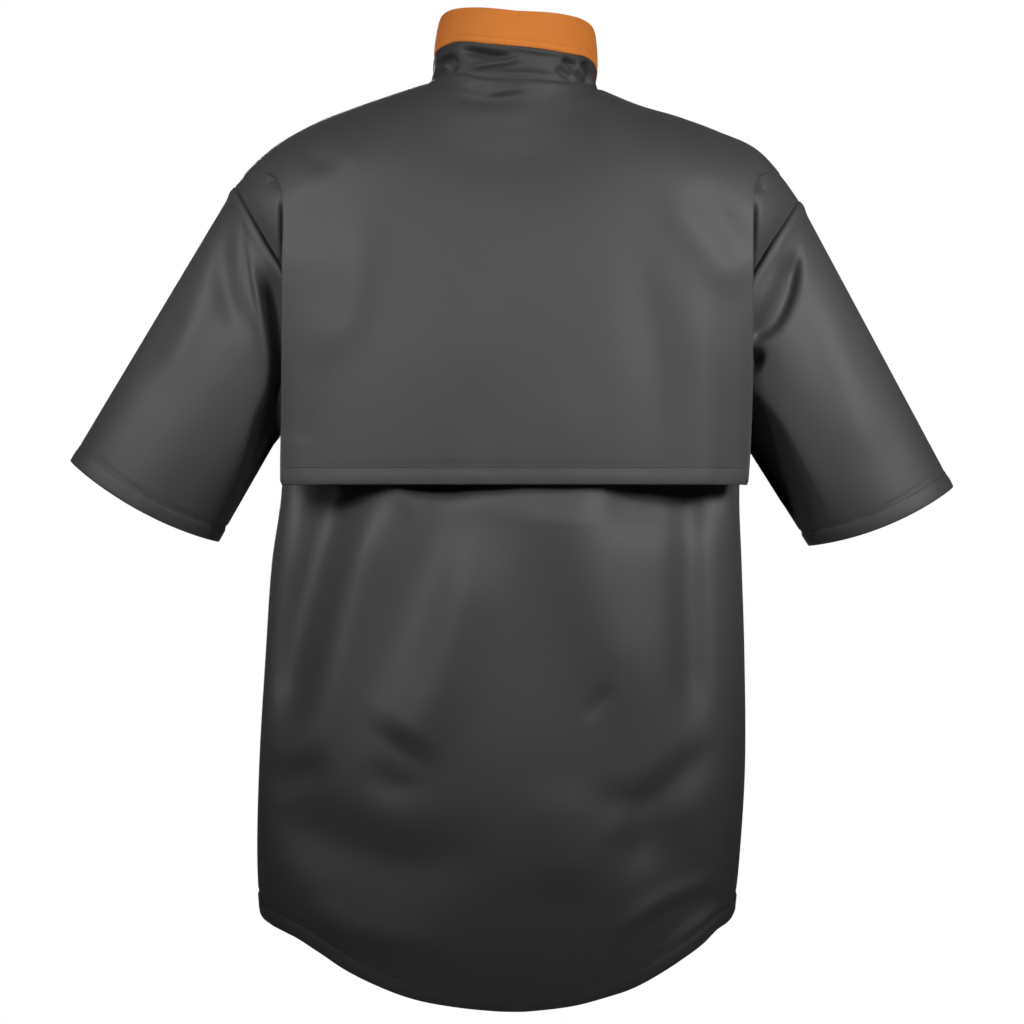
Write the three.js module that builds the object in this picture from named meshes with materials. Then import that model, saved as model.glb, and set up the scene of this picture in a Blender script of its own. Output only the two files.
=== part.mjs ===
// A short-sleeved work jacket with a stand collar and a loose cape over the upper back.
// It keeps the form that it has on its wearer. Millimetres, +Z up, and the front faces -Y.
// The wearer's left is +X. The origin is the middle of the neck opening, level with the back neck seam.

import * as THREE from 'three';

// Cloth
const clothWall = 1.5;
const hemWall = 2.6;
const bandWall = 2.4;
const seamGap = 0.3;

// Neck seam, seen from above an oval that drops towards the front
const neckHalfWidth = 73;
const neckBackDepth = 66;
const neckFrontDepth = 82;
const neckFrontDrop = 70;
const neckTilt = 2.5;

// Collar
const collarHeight = 58;
const standShare = 0.48;
const collarTopShare = 0.93;
const collarSway = 2.7;
const collarTilt = 2.5;
const bandProud = 0.9;
const bandGap = 0.7;
const collarSeat = 0.4;
const collarUnder = 4;
const collarUnderFrom = 140;
const collarUnderTo = 166;

// Shoulder tips, each one its own because the jacket hangs a little askew
const leftTipReach = 244.6;
const leftTipDrop = 87.3;
const rightTipReach = 250;
const rightTipDrop = 99.6;
const shoulderTurn = 78;
const napeTurn = 150;
const napeInset = 29;
const napeSpread = 40;
const chestSpread = 131;

// Body
const bodyHalfWidth = 210;
const backDepth = 115;
const frontDepth = 140;
const backLength = 801;
const sideLength = 723;
const leftUnderarmDrop = 303;
const rightUnderarmDrop = 311;
const bodyRoundness = 2.5;
const tailRoundness = 2.2;
const foldEndSpread = 0.7;

// Cape over the upper back
const capeLength = 350;
const capeHemInset = 21;
const capeStandoff = 12;
const capeFlare = 0.1;
const capeEdgeRoll = 5;
const capeTopInset = 14;
const capeTopStandoff = 3.5;
const capeNarrowRows = 3;
const capeRollStart = 0.94;

// Sleeves: where the middle of each hem lies from its shoulder tip, and how the hem is held
const leftSleeveOut = 80.8;
const leftSleeveDown = 276.8;
const leftHemWidth = 148;
const leftHemTilt = 28.8;
const rightSleeveOut = 73.2;
const rightSleeveDown = 277.7;
const rightHemWidth = 136.5;
const rightHemTilt = 22.4;
const sleeveHemDepth = 118;
const sleeveHemSag = 8;
const sleeveForward = 8;
const sleeveSeamGap = 0.6;
const sleeveAxisShare = 0.85;
const sleeveFoldStart = 0.3;

// Front closure
const frontLap = 16;
const placketWidth = 38;
const placketWall = 1.6;
const frontUnderStart = 45;
const snapRadius = 6.5;
const snapHeight = 2.2;
const snapCount = 6;
const topSnapBelowNeck = 45;
const lastSnapAboveHem = 108;
const snapSeat = 0.7;

// How many cells each sheet has
const neckCells = 14;
const shoulderCells = 7;
const armholeCells = 10;
const tailCells = 14;
const capeSewnRows = 2;
const capeRows = 14;
const capeRowSpacing = 1.7;
const armholeRowSpacing = 1.6;
const columnsEvenAt = 0.7;
const sleeveCells = 9;
const collarCells = 3;
const snapSides = 12;

// The neck seam and the collar's height round the neck: turn runs from the centre back to the centre
// front, rise is a share of neckFrontDrop and tall a share of collarHeight.
const neckRounds = smoothTable([
  { turn: 0, rise: 0, tall: 1 },
  { turn: 35, rise: 0.02, tall: 1 },
  { turn: 65, rise: 0.04, tall: 0.93 },
  { turn: 90, rise: 0.01, tall: 0.8 },
  { turn: 130, rise: -0.55, tall: 0.86 },
  { turn: 180, rise: -1, tall: 0.9 },
]);

// The shoulder seam from the neck to the tip: along and both drops are shares of its reach and drop
const shoulderLine = smoothTable([
  { along: 0, left: 0, right: 0 },
  { along: 0.2, left: 0.122, right: 0.15 },
  { along: 0.4, left: 0.253, right: 0.257 },
  { along: 0.6, left: 0.405, right: 0.39 },
  { along: 0.8, left: 0.625, right: 0.563 },
  { along: 0.93, left: 0.842, right: 0.82 },
  { along: 1, left: 1, right: 1 },
]);

// The armhole seen from behind: drop is a share of the way from shoulder tip to underarm, and the
// reaches are shares of the shoulder tip's reach down to where the underarm takes over.
const armholeLine = smoothTable([
  { drop: 0, left: 1, right: 1, underarm: 0 },
  { drop: 0.12, left: 0.937, right: 0.932, underarm: 0 },
  { drop: 0.25, left: 0.87, right: 0.86, underarm: 0 },
  { drop: 0.36, left: 0.813, right: 0.81, underarm: 0 },
  { drop: 0.6, left: 0.78, right: 0.785, underarm: 0 },
  { drop: 0.8, left: 0.782, right: 0.785, underarm: 0.15 },
  { drop: 0.93, left: 0.8, right: 0.79, underarm: 0.6 },
  { drop: 1, left: 0.82, right: 0.8, underarm: 1 },
]);

// Level sections of the body: down is a share of backLength, left and right of bodyHalfWidth, back
// of backDepth and front of frontDepth.
const bodyLevels = smoothTable([
  { down: 0.05, left: 1.33, right: 1.34, back: 0.86, front: 0.78 },
  { down: 0.12, left: 1.24, right: 1.26, back: 0.93, front: 0.86 },
  { down: 0.21, left: 1.1, right: 1.12, back: 0.98, front: 0.95 },
  { down: 0.3, left: 1.02, right: 1.02, back: 1.01, front: 1 },
  { down: 0.38, left: 0.972, right: 0.958, back: 1, front: 1.01 },
  { down: 0.445, left: 0.973, right: 0.943, back: 0.98, front: 1 },
  { down: 0.52, left: 1.012, right: 0.952, back: 0.97, front: 0.99 },
  { down: 0.62, left: 1.039, right: 0.964, back: 0.96, front: 0.98 },
  { down: 0.75, left: 1.067, right: 0.966, back: 0.97, front: 0.99 },
  { down: 0.85, left: 1.074, right: 0.942, back: 0.99, front: 1.01 },
  { down: 0.905, left: 1.064, right: 0.922, back: 1, front: 1.02 },
  { down: 1, left: 1.05, right: 0.91, back: 1.02, front: 1.03 },
]);

// Soft folds of the lower back and of the fronts: each runs from one place to another, with across
// a share of the half width there, down a share of backLength, and wide and out shares of backDepth.
const backFolds = [
  { across: 0.42, down: 0.44, toAcross: 0.98, toDown: 0.72, wide: 0.24, out: 0.07 },
  { across: 0.8, down: 0.42, toAcross: 0.86, toDown: 0.7, wide: 0.22, out: -0.09 },
  { across: 0.3, down: 0.55, toAcross: 0.58, toDown: 0.76, wide: 0.22, out: -0.06 },
  { across: 0.1, down: 0.42, toAcross: 0.16, toDown: 0.55, wide: 0.26, out: -0.05 },
  { across: -0.26, down: 0.42, toAcross: -0.2, toDown: 0.56, wide: 0.24, out: 0.05 },
  { across: -0.5, down: 0.5, toAcross: -0.46, toDown: 0.72, wide: 0.26, out: 0.07 },
  { across: -0.8, down: 0.42, toAcross: -0.84, toDown: 0.72, wide: 0.24, out: -0.09 },
  { across: 0.2, down: 0.74, toAcross: -0.3, toDown: 0.78, wide: 0.4, out: 0.05 },
];
const frontFolds = [
  { across: 0.7, down: 0.4, toAcross: 0.5, toDown: 0.66, wide: 0.26, out: 0.06 },
  { across: 0.45, down: 0.34, toAcross: 0.3, toDown: 0.6, wide: 0.24, out: -0.05 },
  { across: -0.7, down: 0.4, toAcross: -0.52, toDown: 0.66, wide: 0.26, out: 0.06 },
  { across: -0.42, down: 0.36, toAcross: -0.3, toDown: 0.62, wide: 0.24, out: -0.05 },
];

// Hollows and ridges of the cape, placed like the folds of the back
const capeFolds = [
  { across: 0.3, down: 0.02, toAcross: -0.34, toDown: 0.035, wide: 0.16, out: -0.05 },
  { across: 0.84, down: 0.15, toAcross: 0.88, toDown: 0.24, wide: 0.2, out: -0.07 },
  { across: -0.86, down: 0.16, toAcross: -0.45, toDown: 0.32, wide: 0.3, out: -0.05 },
  { across: 0.5, down: 0.18, toAcross: 0.3, toDown: 0.42, wide: 0.36, out: 0.04 },
];

// Creases of the sleeves: across is a share of the way round from the upper fold over the back,
// down a share of the way to the hem, and wide and out shares of sleeveHemDepth.
const leftSleeveFolds = [
  { across: 0.12, down: 0.06, toAcross: 0.12, toDown: 0.85, wide: 0.2, out: -0.04 },
  { across: 0.26, down: 0.1, toAcross: 0.42, toDown: 0.6, wide: 0.2, out: -0.05 },
  { across: 0.3, down: 0.35, toAcross: 0.23, toDown: 0.95, wide: 0.22, out: 0.04 },
  { across: 0.7, down: 0.1, toAcross: 0.62, toDown: 0.7, wide: 0.22, out: -0.04 },
];
const rightSleeveFolds = [
  { across: 0, down: 0.3, toAcross: 0, toDown: 0.8, wide: 0.3, out: -0.03 },
  { across: 0.22, down: 0.1, toAcross: 0.42, toDown: 0.5, wide: 0.2, out: -0.06 },
  { across: 0.15, down: 0.15, toAcross: 0.2, toDown: 0.9, wide: 0.24, out: 0.04 },
  { across: 0.36, down: 0.3, toAcross: 0.44, toDown: 0.95, wide: 0.2, out: -0.04 },
  { across: 0.7, down: 0.1, toAcross: 0.62, toDown: 0.7, wide: 0.22, out: -0.04 },
];

// A row's first column is where it lies, and the others are read between rows by a smooth curve
function smoothTable(rows) {
  const [key, ...columns] = Object.keys(rows[0]);
  const places = rows.map((row) => row[key]);
  const values = rows.flatMap((row) => columns.map((name) => row[name]));
  const curve = new THREE.CubicInterpolant(places, values, columns.length);
  return (at) => {
    const found = curve.evaluate(at);
    return Object.fromEntries(columns.map((name, index) => [name, found[index]]));
  };
}

function smoothStep(at, from, to) {
  return THREE.MathUtils.smoothstep(at, from, to);
}

function mix(from, to, share) {
  return THREE.MathUtils.lerp(from, to, share);
}

// Each side's own sizes
const leftSide = {
  sign: 1,
  key: 'left',
  tipReach: leftTipReach,
  tipDrop: leftTipDrop,
  underarmDrop: leftUnderarmDrop,
  sleeveOut: leftSleeveOut,
  sleeveDown: leftSleeveDown,
  hemWidth: leftHemWidth,
  hemTilt: leftHemTilt,
  folds: leftSleeveFolds,
};
const rightSide = {
  sign: -1,
  key: 'right',
  tipReach: rightTipReach,
  tipDrop: rightTipDrop,
  underarmDrop: rightUnderarmDrop,
  sleeveOut: rightSleeveOut,
  sleeveDown: rightSleeveDown,
  hemWidth: rightHemWidth,
  hemTilt: rightHemTilt,
  folds: rightSleeveFolds,
};

function sideOf(x) {
  return x < 0 ? rightSide : leftSide;
}

// An angle from the centre back, the same for both sides and past the centre front too
function fromBack(turn) {
  return 180 - Math.abs(180 - Math.abs(turn));
}

// The neck seam at an angle from the centre back, positive to the wearer's left
function neckPoint(turn) {
  const sine = Math.sin(THREE.MathUtils.degToRad(turn));
  const cosine = Math.cos(THREE.MathUtils.degToRad(turn));
  const depth = cosine < 0 ? neckFrontDepth : neckBackDepth;
  const { rise } = neckRounds(fromBack(turn));
  return new THREE.Vector3(neckHalfWidth * sine, depth * cosine, neckFrontDrop * rise + neckTilt * sine);
}

// The top line of the body at a place from the centre: the neck seam inside it, the shoulder seam
// beyond it. The face is 1 for the back and -1 for the front.
function topLine(x, face) {
  const inside = Math.abs(x) < neckHalfWidth;
  if (inside) {
    const quarter = THREE.MathUtils.radToDeg(Math.asin(x / neckHalfWidth));
    const turn = face > 0 ? quarter : Math.sign(x || 1) * 180 - quarter;
    return neckPoint(turn);
  }
  const side = sideOf(x);
  const start = neckPoint(90 * side.sign);
  const along = (Math.abs(x) - neckHalfWidth) / (side.tipReach - neckHalfWidth);
  const drop = shoulderLine(along)[side.key];
  return new THREE.Vector3(x, 0, mix(start.z, -side.tipDrop, drop));
}

function halfWidthAt(x, z) {
  return bodyHalfWidth * bodyLevels(-z / backLength)[sideOf(x).key];
}

// How far folds lift the cloth at x, z. Their ends are shares of spanX and spanZ, and their widths
// and heights are shares of size.
function foldLift(folds, x, z, spanX, spanZ, size) {
  let lift = 0;
  for (const fold of folds) {
    const runX = (fold.toAcross - fold.across) * spanX;
    const runZ = (fold.toDown - fold.down) * spanZ;
    const fromX = x - fold.across * spanX;
    const fromZ = z - fold.down * spanZ;
    const length = Math.hypot(runX, runZ);
    const along = (fromX * runX + fromZ * runZ) / length;
    const past = Math.max(-along, along - length, 0);
    const aside = (fromX * runZ - fromZ * runX) / length;
    const reach = Math.hypot(aside, past * foldEndSpread) / (fold.wide * size);
    lift += fold.out * size * Math.exp(-reach * reach);
  }
  return lift;
}

// Distance of the cloth from the plane of the side seams, at a place seen from the front or back
function bodyDepth(x, z, face, flare = 0) {
  const level = bodyLevels(-z / backLength);
  const halfWidth = bodyHalfWidth * level[sideOf(x).key] * (1 + flare);
  const share = Math.min(Math.abs(x) / halfWidth, 1);
  const full = Math.pow(1 - Math.pow(share, bodyRoundness), 1 / bodyRoundness);
  const deepest = face > 0 ? backDepth * level.back : frontDepth * level.front;
  const folds = face > 0 ? backFolds : frontFolds;
  const lift = foldLift(folds, x, -z, halfWidth, backLength, backDepth);
  const body = deepest * full + lift * full;
  const top = topLine(x, face);
  const spread = face > 0 ? napeSpread : chestSpread;
  const napeStart = neckHalfWidth - napeInset;
  const napeShare = 1 - smoothStep(Math.abs(x), napeStart, napeStart + spread);
  const turn = mix(shoulderTurn, napeTurn, napeShare);
  const fall = Math.min((top.z - z) / turn, 1);
  const round = Math.sqrt(Math.max(fall * (2 - fall), 0));
  const slope = Math.sin((Math.PI / 2) * Math.max(fall, 0));
  const turned = mix(round, slope, napeShare);
  return mix(Math.abs(top.y), body, turned);
}

// Rows from the top line to the underarm lie closer where the shoulder turns
function armholeShare(row) {
  return Math.pow(row / armholeCells, armholeRowSpacing);
}

function armholeReach(side, share) {
  const line = armholeLine(share);
  const atUnderarm = bodyHalfWidth * bodyLevels(side.underarmDrop / backLength)[side.key];
  return mix(side.tipReach * line[side.key], atUnderarm, line.underarm);
}

// Where a column starts on the top line, from the wearer's right shoulder tip to the left one
function topReach(column) {
  const middle = shoulderCells + neckCells / 2;
  const fromMiddle = column - middle;
  const steps = Math.abs(fromMiddle);
  const sign = Math.sign(fromMiddle);
  if (steps <= neckCells / 2) {
    return sign * neckHalfWidth * Math.sin((steps / (neckCells / 2)) * (Math.PI / 2));
  }
  const side = sign < 0 ? rightSide : leftSide;
  const along = (steps - neckCells / 2) / shoulderCells;
  return sign * mix(neckHalfWidth, side.tipReach, along);
}

const bodyColumns = neckCells + 2 * shoulderCells;

// A place on the body's grid, seen from behind, as x and z. Rows up to armholeCells lie between the
// top line and the underarms, and the others between the underarms and the hem.
function bodyPlace(row, column, face, hemOf) {
  const middle = bodyColumns / 2;
  const across = (column - middle) / middle;
  const side = across < 0 ? rightSide : leftSide;
  const topX = topReach(column);
  const top = topLine(topX, face);
  const spread = Math.sin((Math.PI / 2) * Math.abs(across));
  const underarmZ = mix(-rightUnderarmDrop, -leftUnderarmDrop, (across + 1) / 2);
  if (row <= armholeCells) {
    const share = armholeShare(row);
    const ratio = mix(Math.abs(topX) / side.tipReach, spread, smoothStep(share, 0, columnsEvenAt));
    return { x: side.sign * ratio * armholeReach(side, share), z: mix(top.z, underarmZ, share) };
  }
  const below = (row - armholeCells) / tailCells;
  const z = mix(underarmZ, hemOf(spread), below);
  const x = side.sign * spread * halfWidthAt(side.sign, z);
  return { x, z };
}

// The curved tail of the back, deepest at the middle
function tailHem(spread) {
  return -mix(backLength, sideLength, Math.pow(spread, tailRoundness));
}

// The grid of a sheet with each point's direction out of the cloth. The face is 1 where rows, then
// columns, turn clockwise seen from outside. A ring's last column is next to its first. A seam gives
// the direction that the cloth's thickness may not lean in.
function facedGrid({ rows, columns, point, face, ring = false, seam = () => null }) {
  const across = ring ? columns : columns + 1;
  const points = [];
  for (let row = 0; row <= rows; row += 1) {
    points.push([]);
    for (let column = 0; column < across; column += 1) {
      points[row].push(point(row, column));
    }
  }
  const at = (row, column) => points[row][ring ? (column + columns) % columns : column];
  const normals = points.map((line, row) => line.map((place, column) => {
    const before = ring ? column - 1 : Math.max(column - 1, 0);
    const after = ring ? column + 1 : Math.min(column + 1, columns);
    const along = at(row, after).clone().sub(at(row, before));
    const down = at(Math.min(row + 1, rows), column).clone().sub(at(Math.max(row - 1, 0), column));
    const normal = down.cross(along).multiplyScalar(face).normalize();
    const bar = seam(row, column);
    return bar ? normal.addScaledVector(bar, -normal.dot(bar)).normalize() : normal;
  }));
  return { points, normals };
}

// A closed shell of cloth between a grid of outer points and the same grid a wall further in
function clothShell(sheet) {
  const { rows, columns, wall, face, ring = false } = sheet;
  const { points, normals } = facedGrid(sheet);
  const outer = points.flat();
  const walls = points.flatMap((line, row) => line.map(() => wall(row)));
  const inner = outer.map((place, index) => (
    place.clone().addScaledVector(normals.flat()[index], -walls[index])
  ));
  const across = points[0].length;
  const layer = outer.length;
  const index = [];
  const number = (row, column) => row * across + (column % across);
  const quad = (a, b, c, d) => {
    index.push(...(face > 0 ? [a, b, c, a, c, d] : [a, c, b, a, d, c]));
  };
  for (let row = 0; row < rows; row += 1) {
    for (let column = 0; column < columns; column += 1) {
      const [a, b] = [number(row, column), number(row + 1, column)];
      const [c, d] = [number(row + 1, column + 1), number(row, column + 1)];
      quad(a, b, c, d);
      quad(layer + a, layer + d, layer + c, layer + b);
    }
  }
  const rim = (from, to) => quad(from, to, layer + to, layer + from);
  for (let column = 0; column < columns; column += 1) {
    rim(number(0, column), number(0, column + 1));
    rim(number(rows, column + 1), number(rows, column));
  }
  for (let row = 0; row < rows && !ring; row += 1) {
    rim(number(row + 1, 0), number(row, 0));
    rim(number(row, columns), number(row + 1, columns));
  }
  const geometry = new THREE.BufferGeometry();
  const positions = [...outer, ...inner].flatMap((vertex) => vertex.toArray());
  geometry.setAttribute('position', new THREE.Float32BufferAttribute(positions, 3));
  geometry.setIndex(index);
  geometry.computeVertexNormals();
  return geometry;
}

const alongY = new THREE.Vector3(0, 1, 0);
const charcoal = { color: 0x2e2d2d, roughness: 0.62, metalness: 0 };
const orange = { color: 0xf0832a, roughness: 0.7, metalness: 0 };
const snapMetal = { color: 0x35342f, roughness: 0.35, metalness: 0.8 };

function makePiece(name, geometry, finish) {
  const mesh = new THREE.Mesh(geometry, new THREE.MeshStandardMaterial(finish));
  mesh.name = name;
  return mesh;
}

// Back panel, from the neck and shoulder seams under the cape to the tail
const bodyRows = armholeCells + tailCells;

function backPoint(row, column) {
  const { x, z } = bodyPlace(row, column, 1, tailHem);
  return new THREE.Vector3(x, bodyDepth(x, z, 1) + seamGap / 2, z);
}

function isBodySeam(row, column) {
  const fromMiddle = Math.abs(column - bodyColumns / 2);
  const onSide = row >= armholeCells && fromMiddle === bodyColumns / 2;
  return onSide || (row === 0 && fromMiddle >= neckCells / 2);
}

function makeBackPanel() {
  return clothShell({
    rows: bodyRows,
    columns: bodyColumns,
    face: -1,
    point: backPoint,
    wall: (row) => (row === bodyRows ? hemWall : clothWall),
    seam: (row, column) => (isBodySeam(row, column) ? alongY : null),
  });
}

// Cape: its first rows lie on the back panel's, and below them it narrows to its side edges and
// stands off the back.
function capeReach(z) {
  return bodyHalfWidth - mix(capeTopInset, capeHemInset, smoothStep(-z, leftTipDrop, capeLength));
}

function capeBase(row, column) {
  if (row < capeSewnRows) {
    return backPoint(row, column);
  }
  const sewn = bodyPlace(capeSewnRows - 1, column, 1, tailHem);
  const freeRow = row - capeSewnRows + 1;
  const share = Math.pow(freeRow / (capeRows - capeSewnRows + 1), capeRowSpacing);
  const z = mix(sewn.z, -capeLength, share);
  const middle = bodyColumns / 2;
  const spread = Math.sin((Math.PI / 2) * Math.abs(column - middle) / middle);
  const side = column < middle ? rightSide : leftSide;
  const ratio = mix(Math.abs(topReach(column)) / side.tipReach, spread, smoothStep(share, 0, columnsEvenAt));
  const narrowed = Math.min(freeRow / capeNarrowRows, 1) * ratio;
  const x = side.sign * ratio * mix(side.tipReach, capeReach(z), mix(narrowed, 1, share));
  const flare = capeFlare * smoothStep(-z, leftTipDrop, leftTipDrop + shoulderTurn);
  const roll = capeEdgeRoll * smoothStep(ratio, capeRollStart, 1);
  const lift = foldLift(capeFolds, x, -z, capeReach(z), backLength, backDepth);
  return new THREE.Vector3(x, bodyDepth(x, z, 1, flare) + lift - roll, z);
}

function makeCape() {
  const seam = (row, column) => (row === 0 && isBodySeam(row, column) ? alongY : null);
  const grid = { rows: capeRows, columns: bodyColumns, face: -1, point: capeBase, seam };
  const { points, normals } = facedGrid(grid);
  const lifted = (row, column) => {
    const free = row < capeSewnRows ? 0 : mix(capeTopStandoff, capeStandoff, row / capeRows);
    const lift = clothWall + 2 * seamGap + free;
    return points[row][column].clone().addScaledVector(normals[row][column], lift);
  };
  const wall = (row) => (row === capeRows ? hemWall : clothWall);
  return clothShell({ ...grid, point: lifted, wall });
}

// Fronts: columns run from the side seam to the front edge, and the last one is the lap over or
// under the other front. The wearer's right front dips under the left one.
const frontColumns = bodyColumns / 2 + 1;

function frontDepthAt(side, x, z) {
  const layer = hemWall + 2 * seamGap;
  const under = side === rightSide ? layer * smoothStep(x, -frontUnderStart, -frontLap) : 0;
  return -bodyDepth(x, z, -1) - seamGap / 2 + under;
}

function frontPoint(side, row, column) {
  const bodyColumn = bodyColumns / 2 + side.sign * (frontColumns - 1 - column);
  const place = bodyPlace(row, bodyColumn, -1, frontHem);
  const x = frontReach(side, row, column, place.x);
  const z = row === 0 ? topLine(x, -1).z : place.z;
  return new THREE.Vector3(x, frontDepthAt(side, x, z), z);
}

// The columns between the neck's corner and the placket's edge are spread evenly over that stretch
function frontReach(side, row, column, reach) {
  const placketColumn = frontColumns - 2;
  if (column === frontColumns) {
    return -side.sign * frontLap;
  }
  if (column <= shoulderCells || column > placketColumn) {
    return reach;
  }
  const middle = bodyColumns / 2;
  const corner = bodyPlace(row, middle + side.sign * (middle - shoulderCells), -1, frontHem).x;
  const inner = bodyPlace(row, middle + side.sign, -1, frontHem).x;
  const edge = side.sign * placketReach;
  return mix(corner, edge, (corner - reach) / (corner - inner));
}

function frontHem() {
  return -sideLength;
}

function frontSheet(side) {
  return {
    rows: bodyRows,
    columns: frontColumns,
    face: -side.sign,
    point: (row, column) => frontPoint(side, row, column),
    wall: (row) => (row === bodyRows ? hemWall : clothWall),
    seam: (row, column) => {
      const onSide = row >= armholeCells && column === 0;
      return onSide || (row === 0 && column <= shoulderCells) ? alongY : null;
    },
  };
}

// Placket: a strip laid on the last columns of the left front, from neck to hem
const placketReach = placketWidth - frontLap;

function makePlacket() {
  const { points, normals } = facedGrid(frontSheet(leftSide));
  const first = frontColumns - 2;
  return clothShell({
    rows: bodyRows,
    columns: 2,
    face: -1,
    point: (row, column) => {
      const lift = placketWall + seamGap;
      return points[row][first + column].clone().addScaledVector(normals[row][first + column], lift);
    },
    wall: () => placketWall,
  });
}

// A plain domed snap cap on the placket
function makeSnap(number) {
  const profile = [
    [0, 0],
    [snapRadius, 0],
    [snapRadius, 0.4 * snapHeight],
    [0.75 * snapRadius, 0.85 * snapHeight],
    [0, snapHeight],
  ];
  const points = profile.map(([radius, height]) => new THREE.Vector2(radius, height));
  const cap = makePiece(`snap_${number}`, new THREE.LatheGeometry(points, snapSides), snapMetal);
  const x = placketWidth / 2 - frontLap;
  const first = neckPoint(180).z - topSnapBelowNeck;
  const last = lastSnapAboveHem - sideLength;
  const z = mix(first, last, (number - 1) / (snapCount - 1));
  const onPlacket = (height) => frontDepthAt(leftSide, x, height) - placketWall - seamGap;
  const above = new THREE.Vector3(x, onPlacket(z + snapRadius), z + snapRadius);
  const below = new THREE.Vector3(x, onPlacket(z - snapRadius), z - snapRadius);
  const up = above.clone().sub(below).normalize();
  const out = new THREE.Vector3(0, -up.z, up.y);
  cap.quaternion.setFromUnitVectors(new THREE.Vector3(0, 1, 0), out);
  cap.position.copy(above.add(below).multiplyScalar(0.5)).addScaledVector(out, snapSeat);
  return cap;
}

// Sleeves: from the armhole's loop of the back and front panels to an oval hem
function armholeLoop(side) {
  const backColumn = side === leftSide ? bodyColumns : 0;
  const loop = [];
  for (let row = 0; row <= armholeCells; row += 1) {
    loop.push(backPoint(row, backColumn));
  }
  for (let row = armholeCells - 1; row > 0; row -= 1) {
    loop.push(frontPoint(side, row, 0));
  }
  return loop.map((place) => place.add(new THREE.Vector3(side.sign * sleeveSeamGap, 0, 0)));
}

// Shares of a half turn at each point of the loop, by its length along the half
function loopTurns(loop) {
  const count = loop.length;
  const steps = loop.map((place, index) => place.distanceTo(loop[(index + 1) % count]));
  const half = count / 2;
  const total = (from) => steps.slice(from, from + half).reduce((sum, step) => sum + step, 0);
  const turns = [];
  for (let index = 0; index < count; index += 1) {
    const start = index < half ? 0 : half;
    const done = steps.slice(start, index).reduce((sum, step) => sum + step, 0);
    turns.push((start === 0 ? 0 : 0.5) + 0.5 * done / total(start));
  }
  return turns;
}

function makeSleeve(side) {
  const loop = armholeLoop(side);
  const turns = loopTurns(loop);
  const tilt = THREE.MathUtils.degToRad(side.hemTilt);
  const middle = new THREE.Vector3(
    side.sign * (side.tipReach + side.sleeveOut),
    -sleeveForward,
    -side.tipDrop - side.sleeveDown,
  );
  const halfHem = new THREE.Vector3(side.sign * Math.cos(tilt), 0, Math.sin(tilt));
  halfHem.multiplyScalar(side.hemWidth / 2);
  const length = Math.hypot(side.sleeveOut, side.sleeveDown);
  const girth = Math.PI * (side.hemWidth + sleeveHemDepth) / 2;
  const point = (row, column) => {
    const share = row / sleeveCells;
    const turn = turns[column] * 2 * Math.PI;
    const hem = middle.clone().addScaledVector(halfHem, Math.cos(turn));
    hem.y += (sleeveHemDepth / 2) * Math.sin(turn);
    hem.z -= sleeveHemSag * Math.sin(turn) ** 2;
    const place = loop[column].clone().lerp(hem, share);
    const centre = new THREE.Vector3(side.sign * side.tipReach * sleeveAxisShare, 0, 0);
    centre.z = -mix(side.tipDrop, side.underarmDrop, 0.5);
    centre.lerp(middle, share);
    const out = place.clone().sub(centre).normalize();
    const free = smoothStep(share, 0, sleeveFoldStart);
    const lift = foldLift(side.folds, turns[column] * girth, share * length, girth, length, sleeveHemDepth);
    return place.addScaledVector(out, lift * free);
  };
  return clothShell({
    rows: sleeveCells,
    columns: loop.length,
    face: side.sign,
    ring: true,
    point,
    wall: (row) => (row === sleeveCells ? hemWall : clothWall),
  });
}

// Collar: columns share the neck seam's turns, and the right end lies under the left one in front
function collarTurn(column) {
  const backTurn = 90 / (neckCells / 2);
  const fromMiddle = column - collarColumns / 2;
  const turn = fromMiddle * backTurn;
  const lapTurn = THREE.MathUtils.radToDeg(Math.asin(frontLap / neckHalfWidth));
  return THREE.MathUtils.clamp(turn, -180 - lapTurn, 180 + lapTurn);
}

const collarColumns = 2 * neckCells + 2;

function collarPoint(column, share, proud) {
  const turn = collarTurn(column);
  const seam = neckPoint(turn);
  const { tall } = neckRounds(fromBack(turn));
  const under = collarUnder * smoothStep(-turn, collarUnderFrom, collarUnderTo);
  const out = new THREE.Vector3(seam.x / neckHalfWidth ** 2, 0, 0);
  out.y = seam.y / (seam.y < 0 ? neckFrontDepth : neckBackDepth) ** 2;
  out.normalize();
  const lean = mix(1, collarTopShare, share);
  const place = new THREE.Vector3(seam.x * lean - collarSway * share, seam.y * lean, seam.z);
  place.z += seamGap + (collarHeight * tall + collarTilt * seam.x / neckHalfWidth) * share;
  return place.addScaledVector(out, proud - collarSeat - under);
}

function makeCollarRing(from, to, wall, proud) {
  return clothShell({
    rows: collarCells,
    columns: collarColumns,
    face: 1,
    point: (row, column) => collarPoint(column, mix(from, to, row / collarCells), proud),
    wall: () => wall,
  });
}

const jacket = new THREE.Group();
jacket.add(makePiece('back_panel', makeBackPanel(), charcoal));
jacket.add(makePiece('back_cape', makeCape(), charcoal));
jacket.add(makePiece('front_left', clothShell(frontSheet(leftSide)), charcoal));
jacket.add(makePiece('front_right', clothShell(frontSheet(rightSide)), charcoal));
jacket.add(makePiece('placket', makePlacket(), charcoal));
for (let number = 1; number <= snapCount; number += 1) {
  jacket.add(makeSnap(number));
}
jacket.add(makePiece('sleeve_left', makeSleeve(leftSide), charcoal));
jacket.add(makePiece('sleeve_right', makeSleeve(rightSide), charcoal));
const gapShare = bandGap / collarHeight;
jacket.add(makePiece('collar_stand', makeCollarRing(0, standShare, clothWall, 0), charcoal));
jacket.add(makePiece('collar_band', makeCollarRing(standShare + gapShare, 1, bandWall, bandProud), orange));

export default jacket;
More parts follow.
